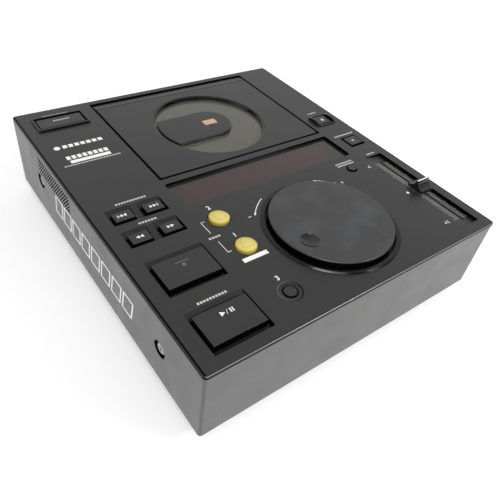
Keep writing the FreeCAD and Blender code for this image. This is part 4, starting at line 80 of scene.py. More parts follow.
# ---------------------------------------------------------------- materials
class Finish:
    """A procedural material. Its textures follow the piece's own frame, in millimetres."""

    def __init__(self, name):
        self.material = bpy.data.materials.new(name)
        self.material.use_nodes = True
        self.tree = self.material.node_tree
        self.shader = self.tree.nodes["Principled BSDF"]
        self.output = self.tree.nodes["Material Output"]
        where = self.node("ShaderNodeTexCoord")
        self.place = self.vector("SCALE", where.outputs["Object"], scale=1 / MM)
        self.normal = where.outputs["Normal"]
        parts = self.node("ShaderNodeSeparateXYZ")
        self.tree.links.new(self.place, parts.inputs[0])
        self.x, self.y, self.z = parts.outputs
        turned = self.node("ShaderNodeSeparateXYZ")
        self.tree.links.new(self.normal, turned.inputs[0])
        self.nx, self.ny, self.nz = turned.outputs

    def node(self, kind, **settings):
        made = self.tree.nodes.new(kind)
        for key, value in settings.items():
            setattr(made, key, value)
        return made

    def feed(self, socket, value):
        if isinstance(value, bpy.types.NodeSocket):
            self.tree.links.new(value, socket)
        elif value is not None:
            socket.default_value = value

    def math(self, operation, a, b=None, c=None, clamp=False):
        made = self.node("ShaderNodeMath", operation=operation, use_clamp=clamp)
        for socket, value in zip(made.inputs, (a, b, c)):
            self.feed(socket, value)
        return made.outputs[0]

    def vector(self, operation, a, b=None, scale=None):
        made = self.node("ShaderNodeVectorMath", operation=operation)
        self.feed(made.inputs[0], a)
        self.feed(made.inputs[1], b)
        if scale is not None:
            self.feed(made.inputs["Scale"], scale)
        return made.outputs["Value"] if operation == "DOT_PRODUCT" else made.outputs[0]

    def spread(self, value, low, high, start=0.0, end=1.0):
        """value from low to high becomes start to end, held outside."""
        made = self.node("ShaderNodeMapRange", clamp=True)
        for name, number in zip(("Value", "From Min", "From Max", "To Min", "To Max"),
                                (value, low, high, start, end)):
            self.feed(made.inputs[name], number)
        return made.outputs[0]

    def noise(self, size, detail=2.0, stretch=None):
        made = self.node("ShaderNodeTexNoise")
        made.inputs["Scale"].default_value = 1 / size
        made.inputs["Detail"].default_value = detail
        place = self.place
        if stretch:
            place = self.vector("MULTIPLY", place, Vector(stretch))
        self.feed(made.inputs["Vector"], place)
        return made.outputs[0]

    def cells(self, size, feature="DISTANCE_TO_EDGE", stretch=None):
        made = self.node("ShaderNodeTexVoronoi", feature=feature)
        made.inputs["Scale"].default_value = 1 / size
        place = self.place
        if stretch:
            place = self.vector("MULTIPLY", place, Vector(stretch))
        self.feed(made.inputs["Vector"], place)
        return made.outputs["Distance"]

    def mix(self, share, a, b):
        made = self.node("ShaderNodeMix", data_type="RGBA")
        self.feed(made.inputs[0], share)
        self.feed(made.inputs[6], (*a, 1.0) if isinstance(a, tuple) else a)
        self.feed(made.inputs[7], (*b, 1.0) if isinstance(b, tuple) else b)
        return made.outputs[2]

    def either(self, *masks):
        total = masks[0]
        for mask in masks[1:]:
            total = self.math("MAXIMUM", total, mask)
        return total

    def both(self, *masks):
        total = masks[0]
        for mask in masks[1:]:
            total = self.math("MULTIPLY", total, mask)
        return total

    def beyond(self, value, limit, soft=0.05):
        return self.spread(value, limit - soft, limit + soft)

    def below(self, value, limit, soft=0.05):
        return self.spread(value, limit - soft, limit + soft, 1.0, 0.0)

    def off(self, value, middle):
        """How far value is from middle, to either side."""
        return self.math("ABSOLUTE", self.math("SUBTRACT", value, middle))

    def length(self, a, b):
        squares = self.math("ADD", self.math("MULTIPLY", a, a), self.math("MULTIPLY", b, b))
        return self.math("SQRT", squares)

    def away(self, x, y):
        """Distance from the upright line through x, y."""
        return self.length(self.math("SUBTRACT", self.x, x), self.math("SUBTRACT", self.y, y))

    def beside(self, y, z):
        """Distance from the line across the case through y, z."""
        return self.length(self.math("SUBTRACT", self.y, y), self.math("SUBTRACT", self.z, z))

    def set(self, **values):
        for name, value in values.items():
            socket = name.replace("_", " ").title().replace("Ior", "IOR")
            self.feed(self.shader.inputs[socket], value)


def tinted(finish, colour, amount, size):
    """The colour with patches that are amount lighter and darker, size across."""
    shade = finish.spread(finish.noise(size, 4.0), 0.3, 0.7, 1 - amount, 1 + amount)
    if isinstance(colour, tuple):
        colour = finish.mix(0.0, colour, colour)
    return finish.vector("SCALE", colour, scale=shade)


DUST = (0.30, 0.29, 0.27)
SCRATCH = (0.36, 0.36, 0.35)


def surface(name, colour, rough, metal=0.0, patch=0.12, patch_size=14.0, grain=0.35, depth=0.004,
            smudge=0.06, smudge_size=9.0, edge=0.0, edge_r=0.25, dust=0.0, scratch=0.0, look=None,
            **more):
    """A finish with patches, grain, smudges, edges painted lighter as wear and as a painted highlight,
    dust and scratches.

    look(finish) may return rows for other looks on parts of the surface: where, colour, roughness
    and, if it isn't 0.5, the level of the mirrored light.
    """
    f = Finish(name)
    tint = tinted(f, colour, patch, patch_size)
    gloss = f.spread(f.noise(smudge_size, 5.0), 0.3, 0.7, max(rough - smudge, 0.02), rough + smudge)
    shine = 0.5
    for mask, other, other_rough, *level in (look(f) if look else ()):
        tint = f.mix(mask, tint, tinted(f, other, patch, patch_size))
        gloss = f.spread(mask, 0.0, 1.0, gloss, other_rough)
        shine = f.spread(mask, 0.0, 1.0, shine, level[0] if level else 0.5)
    if dust:
        specks = f.beyond(f.noise(0.9, 1.0), 0.73, 0.02)
        specks = f.both(specks, f.beyond(f.noise(23.0, 2.0), 0.5, 0.1), dust)
        tint = f.mix(specks, tint, DUST)
    if scratch:
        lines = f.beyond(f.noise(0.45, 1.0, stretch=(0.035, 0.035, 1.0)), 0.70, 0.02)
        lines = f.both(lines, f.beyond(f.noise(38.0, 3.0), 0.56, 0.04), scratch)
        tint = f.mix(lines, tint, SCRATCH)
    bevel = f.node("ShaderNodeBevel", samples=4)
    bevel.inputs["Radius"].default_value = edge_r * MM
    # edges are painted lighter, partly as wear and partly as a painted highlight where an edge catches
    # the light
    if edge:
        flat = f.node("ShaderNodeNewGeometry").outputs["Normal"]
        turn = f.vector("DOT_PRODUCT", bevel.outputs[0], flat)
        worn = f.spread(turn, 0.97, 0.80, 0.0, edge)
        worn = f.math("MULTIPLY", worn, f.spread(f.noise(6.0, 4.0), 0.35, 0.6, 0.3, 1.0))
        tint = f.mix(worn, tint, tuple(min(c * 3 + 0.10, 0.9) for c in colour))
    bump = f.node("ShaderNodeBump")
    bump.inputs["Strength"].default_value = 1.0
    bump.inputs["Distance"].default_value = depth * MM
    f.feed(bump.inputs["Height"], f.noise(grain, 3.0))
    f.feed(bump.inputs["Normal"], bevel.outputs[0])
    f.set(base_color=tint, roughness=gloss, metallic=metal, normal=bump.outputs[0],
          specular_ior_level=shine, **more)
    return f


BLACK = (0.0012, 0.0012, 0.0012)
DULL = 0.06                 # mirrored light of the faces that stay black in the photo
TOP = (0.0140, 0.0136, 0.0132)
# painted shade: a darker copy of TOP for the ramps behind the keys and the dish
SHADED_TOP = (0.0075, 0.0073, 0.0071)
PLATED = (0.55, 0.56, 0.57)
PANEL_RIM_X = 2.3           # black rim of the panel at its sides, and at its front and back
PANEL_RIM_Y = 1.4
GAP_SEEN = 0.8              # painted shade: a black strip round the opening of the lid, where its gap is
LIT_EDGE = 0.9              # front edge of the panel that catches the light
RAMP_DEPTH = 5.0            # how deep the sloped lips behind the keys reach
RING_OUTER_R = 63.5         # raised ring round the jog dial
DISH_DEPTH = 2.0            # dish of the third loop button, and its lip
DISH_LIP = 1.3
HIGHLIGHT_EDGE_H = 0.7                # upper edge of the case wrap, painted lighter as a highlight
CORNER_W = 1.4              # front corners of the case wrap, painted dark as shade
KNOB_LINE_HALF = 0.75
JOG_SIDE_Z = 92.5           # below this the jog dial is black
INSERT_HALF = (4.6, 5.4)    # inner and outer edge of the line round a dome's insert
CONTROL_BOARD_Z = 46.0      # above these the parts on a board are black
POWER_BOARD_Z = 26.0


def panel_look(f):
    """The moulding is satin on its upper faces, and black on its rim and in its wells. Painted shade
    darkens the gaps round its openings, its ramps and its dish, and painted highlights lighten its
    front edge and part of the dish's lip.
    """
    upright = f.below(f.nz, 0.93, 0.04)
    rim = f.either(f.beyond(f.math("ABSOLUTE", f.x), PANEL_X - PANEL_RIM_X),
                   f.beyond(f.math("ABSOLUTE", f.y), PANEL_Y - PANEL_RIM_Y))
    gap_shade_round_lid = f.both(f.below(f.off(f.x, CENTRE_X), LID_OPEN_X + GAP_SEEN, 0.1),
                       f.below(f.off(f.y, LID_OPEN_Y), LID_OPEN_D + GAP_SEEN, 0.1))
    gap_shade_round_time = f.below(f.away(*TIME), TIME_HOLE_R + 0.5, 0.15)
    deep = f.below(f.z, PANEL_Z - 0.5, 0.1)
    ramp = f.both(f.beyond(f.z, PANEL_Z - RAMP_DEPTH, 0.1), f.beyond(f.nz, 0.5, 0.1),
                  f.below(f.z, PANEL_Z - 0.1))
    lit = f.both(f.below(f.y, LIT_EDGE - PANEL_Y, 0.2), f.beyond(f.z, PANEL_Z - 0.7, 0.2))
    ring = f.both(f.beyond(f.z, PANEL_Z + 0.1, 0.05), f.below(f.away(CENTRE_X, JOG_Y), RING_OUTER_R))
    from_reloop = f.away(*RELOOP)
    dish = f.both(f.below(from_reloop, RELOOP_DISH_R), f.beyond(f.z, PANEL_Z - DISH_DEPTH, 0.2))
    lip = f.both(f.beyond(from_reloop, RELOOP_DISH_R - DISH_LIP, 0.5), dish)
    to_right = f.math("SUBTRACT", f.x, RELOOP[0])
    turned = f.math("SUBTRACT", f.math("SUBTRACT", f.y, RELOOP[1]), to_right)
    # the rim, upright faces and wells are black moulding; the strips round the lid and the time button
    # are painted shade of their gaps
    return [(f.either(upright, rim, deep, gap_shade_round_lid, gap_shade_round_time), BLACK, 0.16, DULL),
            # painted shade on the ramps behind the keys
            (ramp, SHADED_TOP, 0.34),
            # painted highlight: the front edge of the panel is painted light grey
            (lit, (0.16, 0.16, 0.16), 0.20),
            (ring, (0.0018, 0.0018, 0.0018), 0.20, 0.32),
            # painted shade in the dish of the third loop button
            (dish, SHADED_TOP, 0.20),
            # painted highlight on the rear-left half of the dish's lip, and painted shade on its
            # front-right half
            (f.both(lip, f.spread(turned, 0.0, 9.0)), (0.050, 0.050, 0.050), 0.20),
            (f.both(lip, f.spread(turned, 0.0, -9.0)), BLACK, 0.20, 0.2),
            # painted shade: black round the hole of the third loop button, where its gap is
            (f.below(from_reloop, RELOOP_HOLE_R + 0.6, 0.2), BLACK, 0.20, DULL)]


def lid_look(f):
    return [(f.below(f.nz, 0.9, 0.05), BLACK, 0.18, DULL)]


def wrap_look(f):
    """Painted highlight along the upper edge, and painted shade on the front corners and in the cups.
    """
    painted_edge_highlight = f.beyond(f.z, WRAP_TOP - HIGHLIGHT_EDGE_H, 0.15)
    across = f.math("ABSOLUTE", f.x)
    # painted shade down the rounded front corners
    painted_corner_shade = f.both(f.beyond(across, SIDE_X - CORNER_W, 0.4), f.below(f.y, CORNER_W - SIDE_Y, 0.4))
    # painted shade: the screw cups on the sides are painted black
    painted_cup_shade = f.either(*(f.below(f.beside(y, SCREW_Z), CUP_R + 0.6, 0.15) for y in SCREW_Y))
    # painted highlight on the upper edge, painted shade on the front corners and in the cups on the
    # sides
    return [(painted_edge_highlight, (0.28, 0.28, 0.28), 0.30), (painted_corner_shade, (0.045, 0.045, 0.045), 0.30),
            (f.both(painted_cup_shade, f.beyond(across, 120.0)), BLACK, 0.3, DULL)]


def knob_look(f):
    """A white line along the ridge."""
    middle = f.below(f.off(f.y, TEMPO_Y), KNOB_LINE_HALF, 0.1)
    line = f.both(middle, f.beyond(f.nz, 0.5, 0.1), f.beyond(f.z, KNOB_TOP - 2.0, 0.2))
    return [(line, (0.75, 0.75, 0.74), 0.4)]


def window_look(f):
    """Black wall round the clear floor."""
    wall = f.both(f.below(f.nz, 0.9, 0.05), f.beyond(f.away(CENTRE_X, WINDOW_Y), WINDOW_FLOOR_R))
    return [(wall, BLACK, 0.08)]


def key_look(f):
    """Satin on top, black on the sides."""
    return [(f.below(f.nz, 0.80, 0.1), BLACK, 0.14, DULL)]


def in_dimple(f):
    return f.both(f.below(f.away(*DIMPLE), DIMPLE_R - 0.2, 0.15), f.below(f.z, JOG_TOP - 0.05, 0.04))


def jog_look(f):
    """Satin top with rubbed patches, black side, and a glossy dimple painted darker as shade."""
    rubbed = f.both(f.spread(f.noise(26.0, 3.0), 0.48, 0.66), f.beyond(f.nz, 0.9, 0.05))
    side = f.either(f.below(f.nz, 0.35, 0.15), f.below(f.z, JOG_SIDE_Z, 0.4))
    # the dimple's darker colour is painted shade; its gloss comes from its roughness and mirrored light
    return [(rubbed, (0.040, 0.042, 0.046), 0.30), (in_dimple(f), (0.008, 0.008, 0.008), 0.15, 0.6),
            (side, BLACK, 0.35, 0.03)]


def dome_look(f):
    """A square insert shows through each clear dome, and the domes' sloping sides are painted darker as
    shade.
    """
    rows = []
    inner, outer = INSERT_HALF
    for y in (LOOP_OUT_Y, LOOP_IN_Y):
        dx = f.off(f.x, LOOP_X)
        dy = f.off(f.y, y)
        powers = f.math("ADD", f.math("POWER", dx, 4.0), f.math("POWER", dy, 4.0))
        size = f.math("POWER", powers, 0.25)
        line = f.both(f.beyond(size, inner, 0.35), f.below(size, outer, 0.35), f.below(dx, 8.0))
        rows.append((f.math("MULTIPLY", line, 0.6), (0.48, 0.38, 0.07), 0.18))
    # painted shade: the sloping sides of the domes, beyond their tops, are darker
    side = f.both(f.beyond(f.away(LOOP_X, LOOP_OUT_Y), DOME_TOP_R, 0.5),
                  f.beyond(f.away(LOOP_X, LOOP_IN_Y), DOME_TOP_R, 0.5))
    rows.append((side, (0.42, 0.33, 0.05), 0.2))
    return rows


def display_look(f):
    """The red filter behind the smoked window stops short of its ends, and its border is black."""
    reach = f.off(f.x, FILTER_X)
    middle = f.off(f.y, FILTER_Y)
    red = f.both(f.below(reach, FILTER_HALF_W, 6.0), f.below(middle, FILTER_HALF_D, 2.5))
    border = f.either(f.beyond(f.off(f.x, CENTRE_X), DISPLAY_X, 0.1), f.below(f.y, DISPLAY_FRONT, 0.1))
    return [(red, (0.036, 0.017, 0.015), 0.12), (border, BLACK, 0.2, DULL)]


def board_look(base):
    """Tracks and solder spots on a board, and black parts above base."""

    def look(f):
        tracks = f.below(f.cells(3.1, stretch=(1.0, 0.4, 1.0)), 0.05, 0.03)
        tracks = f.both(tracks, f.beyond(f.noise(17.0), 0.45, 0.05))
        pads = f.below(f.cells(2.54, "F1"), 0.16, 0.03)
        parts = f.beyond(f.z, base, 0.2)
        return [(tracks, (0.10, 0.30, 0.14), 0.3), (pads, (0.55, 0.55, 0.52), 0.3),
                (parts, (0.03, 0.03, 0.03), 0.4)]
    return look


def coil_look(f):
    """Laminated core, wound middle."""
    layers = f.beyond(f.math("SINE", f.math("MULTIPLY", f.z, 12.0)), 0.2, 0.3)
    return [(f.math("MULTIPLY", layers, 0.5), (0.10, 0.10, 0.11), 0.5)]


def plated(name, colour=PLATED, rough=0.30, **more):
    return surface(name, colour, rough, metal=1.0, patch=0.10, patch_size=20.0, grain=0.5, depth=0.003,
                   smudge=0.08, smudge_size=12.0, edge=0.15, **more)


def moulding(name, colour=(0.010, 0.010, 0.010), rough=0.42, **more):
    settings = dict(patch=0.15, patch_size=11.0, grain=0.30, depth=0.010, edge=0.10, dust=0.25)
    settings.update(more)
    return surface(name, colour, rough, **settings)


def rubber(name):
    return surface(name, (0.012, 0.012, 0.012), 0.75, patch=0.25, patch_size=6.0, grain=0.5, depth=0.03,
                   smudge=0.08, dust=0.6)


def glass(name, colour, rough, share, look=None):
    """Clear plastic that lets a share of the light straight through."""
    f = surface(name, colour, rough, patch=0.03, patch_size=30.0, grain=8.0, depth=0.002,
                smudge=0.015, dust=0.10, look=look)
    f.shader.inputs["Transmission Weight"].default_value = share
    return f


def satin(name, rough, **more):
    settings = dict(grain=0.22, smudge=0.03, smudge_size=30.0, edge_r=0.3)
    settings.update(more)
    return surface(name, TOP, rough, **settings)


top = satin("satin_panel", 0.36, patch=0.06, patch_size=40.0, depth=0.0035, edge=0.10, dust=0.2,
            look=panel_look)
lid = satin("satin_lid", 0.34, patch=0.05, patch_size=45.0, depth=0.003, edge=0.2, dust=0.3,
            look=lid_look)
arm = satin("satin_arm", 0.34, patch=0.05, patch_size=45.0, depth=0.003, edge=0.2, dust=0.2)
wrap = surface("grey_paint", (0.089, 0.089, 0.088), 0.38, patch=0.07, patch_size=30.0, grain=0.8,
               depth=0.010, smudge=0.05, smudge_size=22.0, edge=0.3, edge_r=0.4, dust=0.4,
               scratch=0.3, look=wrap_look)
key_top = surface("key_top", (0.0150, 0.0150, 0.0152), 0.33, patch=0.06, grain=0.2, depth=0.003,
                  smudge=0.05, edge=0.45, edge_r=0.35, dust=0.2, look=key_look)
jog_top = surface("jog_top", (0.028, 0.028, 0.029), 0.36, patch=0.05, patch_size=30.0, grain=0.25,
                  depth=0.004, smudge=0.06, smudge_size=26.0, edge=0.5, edge_r=0.3, dust=0.3,
                  look=jog_look)
# the dimple is shaded as the ball that it is cut by, which hides the facets of its mesh
ball = (DIMPLE_R ** 2 + DIMPLE_DEPTH ** 2) / (2 * DIMPLE_DEPTH)
inward = jog_top.vector("SUBTRACT", Vector((*DIMPLE, JOG_TOP - DIMPLE_DEPTH + ball)), jog_top.place)
in_world = jog_top.node("ShaderNodeVectorTransform", vector_type="NORMAL", convert_from="OBJECT",
                        convert_to="WORLD")
jog_top.feed(in_world.inputs[0], inward)
blend = jog_top.node("ShaderNodeMix", data_type="VECTOR")
jog_top.feed(blend.inputs[0], in_dimple(jog_top))
jog_top.feed(blend.inputs[4], jog_top.shader.inputs["Normal"].links[0].from_socket)
jog_top.feed(blend.inputs[5], jog_top.vector("NORMALIZE", in_world.outputs[0]))
jog_top.set(normal=blend.outputs[1])
gloss = surface("black_gloss", (0.003, 0.003, 0.003), 0.14, patch=0.1, grain=0.6, depth=0.002,
                smudge=0.03, edge=0.25, dust=0.2)
knob = surface("knob_gloss", (0.009, 0.009, 0.009), 0.24, patch=0.1, grain=0.4, depth=0.002,
               smudge=0.04, edge=0.3, look=knob_look)
screw_plate = surface("screw_steel", (0.42, 0.42, 0.42), 0.30, metal=0.9, patch=0.15, grain=0.4,
                      depth=0.004, edge=0.5, dust=0.2)
dome = surface("yellow_dome", (0.63, 0.52, 0.155), 0.13, patch=0.03, patch_size=9.0, grain=3.0,
               depth=0.004, smudge=0.02, look=dome_look)
dome.shader.inputs["Subsurface Weight"].default_value = 0.35
dome.shader.inputs["Subsurface Radius"].default_value = (0.004, 0.002, 0.0006)
dome.shader.inputs["Subsurface Scale"].default_value = 1.0
window = glass("smoked_window", (0.105, 0.103, 0.082), 0.12, 0.25, look=window_look)
display = glass("smoked_display", (0.020, 0.018, 0.017), 0.12, 0.0, look=display_look)
tube = glass("tube_glass", (0.05, 0.055, 0.05), 0.06, 0.3)
lens = glass("coated_lens", (0.35, 0.42, 0.62), 0.03, 0.7)
black = moulding("black_moulding")
acetal = moulding("natural_acetal", (0.72, 0.71, 0.64), 0.4, dust=0.0)
soft_black = rubber("black_rubber")
steel = plated("zinc_plate")
bright = plated("ground_steel", (0.62, 0.62, 0.63), 0.16)
brass = plated("cut_brass", (0.72, 0.52, 0.20), 0.25)
rear_paint = surface("black_paint", (0.012, 0.012, 0.012), 0.42, patch=0.1, patch_size=25.0, grain=0.7,
                     depth=0.012, smudge=0.05, edge=0.25, dust=0.15)
board = surface("green_board", (0.02, 0.11, 0.045), 0.35, patch=0.1, grain=0.5, depth=0.004,
                look=board_look(CONTROL_BOARD_Z))
brown_board = surface("brown_board", (0.16, 0.09, 0.03), 0.45, patch=0.1, grain=0.5, depth=0.004,
                      look=board_look(POWER_BOARD_Z))
core = surface("varnished_core", (0.05, 0.045, 0.04), 0.4, patch=0.2, patch_size=6.0, grain=0.4,
               depth=0.02, edge=0.2, look=coil_look)

WORN_BY = {
    top: ("top_panel",),
    lid: ("lid_plate",),
    arm: ("clamp_cover",),
    wrap: ("case_wrap",),
    rear_paint: ("rear_panel",),
    key_top: ("cue_key", "play_key", "track_back_key", "track_forward_key", "search_back_key",
              "search_forward_key", "power_button", "open_button", "master_tempo_button", "time_button",
              "reloop_button"),
    jog_top: ("jog_dial",),
    gloss: ("power_bezel", "open_guard"),
    knob: ("tempo_knob",),
    dome: ("loop_in_button", "loop_out_button"),
    window: ("lid_window",),
    display: ("display_window",),
    tube: ("display_tube",),
    lens: ("pickup_lens",),
    black: ("feet", "lid_catch", "clamp_disc", "disc_well", "turntable", "pickup_sled", "key_switches",
            "power_switch", "tempo_scale", "mains_inlet"),
    acetal: ("sled_gear", "latch_lever"),
    soft_black: ("foot_pads", "damper_bushes"),
    steel: ("bottom_plate", "chassis_brackets", "mech_deck", "latch_bracket", "tempo_slider",
            "spindle_motor", "sled_motor"),
    bright: ("hinge_pins", "guide_rods", "key_rods", "jog_shaft"),
    brass: ("motor_pinion", "jog_bearing", "rear_sockets"),
    screw_plate: ("side_screws", "small_screws"),
    board: ("control_boards", "main_board"),
    brown_board: ("power_board",),
    core: ("transformer",),
}
for worn, names in WORN_BY.items():
    for name in names:
        if name in nodes:
            slots = nodes[name].data.materials
            slots.clear()
            slots.append(worn.material)

# ---------------------------------------------------------------- printed marks
INK_LIFT = 0.05
INK_ROOT = 0.03


def tree_of(name):
    mesh = nodes[name].data
    faces = [tuple(p.vertices) for p in mesh.polygons]
    return BVHTree.FromPolygons([v.co.copy() for v in mesh.vertices], faces)


trees = {}


def onto(name, point, direction):
    """Where a ray from point, in millimetres, meets a CAD node."""
    if name not in trees:
        trees[name] = tree_of(name)
    hit = trees[name].ray_cast(Vector(point) * MM, Vector(direction))[0]
    return hit / MM if hit else None


def add_piece(name, made, finish, body):
    """A piece of the looks from a bmesh, riding a body."""
    mesh = bpy.data.meshes.new(name)
    made.to_mesh(mesh)
    made.free()
    mesh.materials.append(finish.material)
    piece = bpy.data.objects.new(name, mesh)
    bpy.context.scene.collection.objects.link(piece)
    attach(piece, body)


class Print:
    """Marks printed on one CAD node, drawn in the plane that faces the viewer."""

    def __init__(self, node, origin=(0, 0, 140), right=(1, 0, 0), up=(0, 1, 0)):
        self.node = node
        self.origin = Vector(origin)
        self.right = Vector(right)
        self.up = Vector(up)
        self.out = self.right.cross(self.up)
        self.mesh = bmesh.new()

    def shape(self, points):
        """A closed outline, counter-clockwise, filled with ink."""
        tops = []
        roots = []
        for u, v in points:
            start = self.origin + self.right * u + self.up * v
            hit = onto(self.node, start, -self.out)
            if hit is None:
                return
            tops.append(self.mesh.verts.new((hit + self.out * INK_LIFT) * MM))
            roots.append(self.mesh.verts.new((hit - self.out * INK_ROOT) * MM))
        self.mesh.faces.new(tops)
        for i in range(len(tops)):
            j = (i + 1) % len(tops)
            self.mesh.faces.new((tops[i], roots[i], roots[j], tops[j]))

    def bar(self, u0, u1, v0, v1):
        self.shape([(u0, v0), (u1, v0), (u1, v1), (u0, v1)])

    def blocks(self, u0, u1, v0, v1, count, slant=0.0):
        """A row of equal plain blocks where the photo has lettering."""
        pitch = (u1 - u0) / count
        for i in range(count):
            left = u0 + pitch * (i + 0.14)
            right = u0 + pitch * (i + 0.86)
            self.shape([(left, v0), (right, v0), (right + slant, v1), (left + slant, v1)])

    def line(self, points, width):
        """Straight strokes through the points, with mitred corners."""
        pts = [Vector(p) for p in points]
        left = []
        right = []
        for i, p in enumerate(pts):
            before = (p - pts[i - 1]).normalized() if i else (pts[1] - p).normalized()
            after = (pts[i + 1] - p).normalized() if i < len(pts) - 1 else before
            middle = (before + after).normalized()
            side = Vector((-middle.y, middle.x))
            reach = width / 2 / max(side.dot(Vector((-after.y, after.x))), 0.5)
            left.append(p + side * reach)
            right.append(p - side * reach)
        for i in range(len(pts) - 1):
            self.shape([right[i], right[i + 1], left[i + 1], left[i]])

    def arc(self, u, v, r, start, end, width, steps=16):
        turn = [math.radians(start + (end - start) * i / steps) for i in range(steps + 1)]
        self.line([(u + r * math.cos(a), v + r * math.sin(a)) for a in turn], width)

    def disc(self, u, v, r, steps=20):
        turns = [2 * math.pi * i / steps for i in range(steps)]
        self.shape([(u + r * math.cos(a), v + r * math.sin(a)) for a in turns])

    def point_to(self, u, v, length, height):
        """A triangle whose tip is length to the right, or to the left if length is negative."""
        tri = [(u, v - height / 2), (u + length, v), (u, v + height / 2)]
        self.shape(tri if length > 0 else tri[::-1])

    def text(self, words, u, v, height):
        """Plain numerals in Blender's own font, centred at u, v."""
        curve = bpy.data.curves.new("numerals", "FONT")
        curve.body = words
        curve.align_x = "CENTER"
        curve.align_y = "CENTER"
        curve.size = height * 1.35
        curve.offset = height * 0.025
        curve.resolution_u = 3
        holder = bpy.data.objects.new("numerals", curve)
        bpy.context.scene.collection.objects.link(holder)
        bpy.context.view_layer.update()
        flat = bpy.data.meshes.new_from_object(holder)
        for face in flat.polygons:
            corners = [flat.vertices[i].co for i in face.vertices]
            corners = corners if face.normal.z > 0 else corners[::-1]
            self.shape([(u + c.x, v + c.y) for c in corners])
        bpy.data.objects.remove(holder)
        bpy.data.meshes.remove(flat)
        bpy.data.curves.remove(curve)

    def done(self, name, body, finish):
        add_piece(name, self.mesh, finish, body)


def printing_ink(name, colour, rough=0.5, **more):
    return surface(name, colour, rough, grain=0.2, depth=0.004, **more)


ink = printing_ink("white_ink", (0.80, 0.80, 0.79), 0.45, patch=0.10, patch_size=2.0, smudge=0.05)
grey_ink = printing_ink("grey_ink", (0.12, 0.12, 0.12), patch=0.15, patch_size=2.0)
label_ink = printing_ink("label_ink", (0.52, 0.52, 0.51), patch=0.12, patch_size=2.0)
dim_ink = printing_ink("dim_ink", (0.42, 0.41, 0.39), patch=0.15, patch_size=2.0)
gold_ink = printing_ink("gold_ink", (0.62, 0.40, 0.22), 0.35, metal=0.3, patch=0.12, patch_size=1.5)


LABEL_H = 2.0               # heights of the small labels and of the smaller ones
SMALL_LABEL_H = 1.8
NUMERAL_H = 5.0
BRACKET_LINE = 0.5

panel = Print("top_panel")
labels = Print("top_panel")
# plain blocks and bars where the photo has names
panel.disc(-142.6, 105.6, 3.0)
panel.blocks(-138, -97, 103.2, 108.2, 7)
panel.blocks(-142, -100, 83.2, 88.8, 8)
panel.bar(-140, -101, 76.6, 81.2)
labels.blocks(-148, -93, 73.0, 74.6, 22)
# labels of the track keys, the search keys, the play key and the power button
labels.blocks(-133, -104, 2.0, 2.0 + LABEL_H, 11)
labels.blocks(-127, -110, -28.6, -28.6 + LABEL_H, 6)
labels.blocks(-132, -106, -126.4, -126.4 + LABEL_H, 10)
labels.blocks(-134, -108, 166.4, 166.4 + SMALL_LABEL_H, 11)
# bracket and numerals of the loop buttons
panel.line([(-78, -51), (-81.5, -51), (-81.5, -66)], BRACKET_LINE)
panel.line([(-81.5, -77), (-81.5, -91.5), (-78, -91.5)], BRACKET_LINE)
labels.blocks(-87, -75.5, -72.5, -72.5 + LABEL_H, 4)
panel.text("2", -65, -37.0, NUMERAL_H)
panel.text("1", -65, -77.0, NUMERAL_H)
panel.text("3", -65, -134.0, NUMERAL_H)
panel.bar(-77, -53, -108.2, -103.8)

ARROWS = ((66.0, 119, 139), (64.6, 62, 44))    # radius, and start and end in degrees
ARROW_LINE = 0.8
ARROW_HALF_W = 1.2
ARROW_TIP = 3.4
SIGN_W = 3.2                # minus and plus signs at their tips
SIGN_LINE = 0.6
for r, start, end in ARROWS:
    panel.arc(CENTRE_X, JOG_Y, r, start, end, ARROW_LINE)
    turn = math.radians(end)
    neck = Vector((CENTRE_X + r * math.cos(turn), JOG_Y + r * math.sin(turn)))
    ahead = Vector((-math.sin(turn), math.cos(turn))) * (1 if end > start else -1)
    across = Vector((-ahead.y, ahead.x)) * ARROW_HALF_W
    head = [neck + across, neck - across, neck + ahead * ARROW_TIP]
    panel.shape(head if (head[1] - head[0]).cross(head[2] - head[0]) > 0 else head[::-1])
for u in (-40.0, 71.5):
    panel.bar(u - SIGN_W / 2, u + SIGN_W / 2, -64.0 - SIGN_LINE / 2, -64.0 + SIGN_LINE / 2)
panel.bar(71.5 - SIGN_LINE / 2, 71.5 + SIGN_LINE / 2, -64.0 - SIGN_W / 2, -64.0 + SIGN_W / 2)

# labels of the time button, the open button, the master tempo button and the tempo slider
labels.blocks(86, 109, -39.8, -39.8 + SMALL_LABEL_H, 9)
labels.blocks(86, 109, -43.2, -43.2 + SMALL_LABEL_H, 9)
labels.blocks(131, 143, 54.8, 54.8 + SMALL_LABEL_H, 5)
labels.blocks(124, 152, 2.0, 2.0 + SMALL_LABEL_H, 11)
labels.blocks(132, 143.5, -39.8, -39.8 + SMALL_LABEL_H, 5)
panel.text("+1", 117, -157, 4.4)
panel.text("-1", 117, -57, 4.4)
panel.disc(119.5, TEMPO_Y, 1.5)
panel.done("panel_print", "case", ink)
labels.done("panel_labels", "case", label_ink)

TICK_PITCH = 2.1
TICKS = 24                  # on each side of the middle
TICK_HALF_W = 0.2
LONG_EVERY = 6
TICK_INNER = (135.2, 139.8)    # ends of the ticks beside the slot
TICK_SHORT = (128.4, 146.0)    # outer ends of the short and the long ones
TICK_LONG = (126.9, 147.4)
scale = Print("tempo_scale")
for i in range(-TICKS, TICKS + 1):
    y = TEMPO_Y + i * TICK_PITCH
    outer = TICK_SHORT if i % LONG_EVERY else TICK_LONG
    scale.bar(outer[0], TICK_INNER[0], y - TICK_HALF_W, y + TICK_HALF_W)
    scale.bar(TICK_INNER[1], outer[1], y - TICK_HALF_W, y + TICK_HALF_W)
scale.done("tempo_ticks", "case", dim_ink)

mark = Print("cue_key")
mark.bar(-125.5, -114.0, -84.6, -83.9)
mark.disc(-119.75, -88.0, 1.6)
mark.done("cue_mark", "cue_rocker", grey_ink)

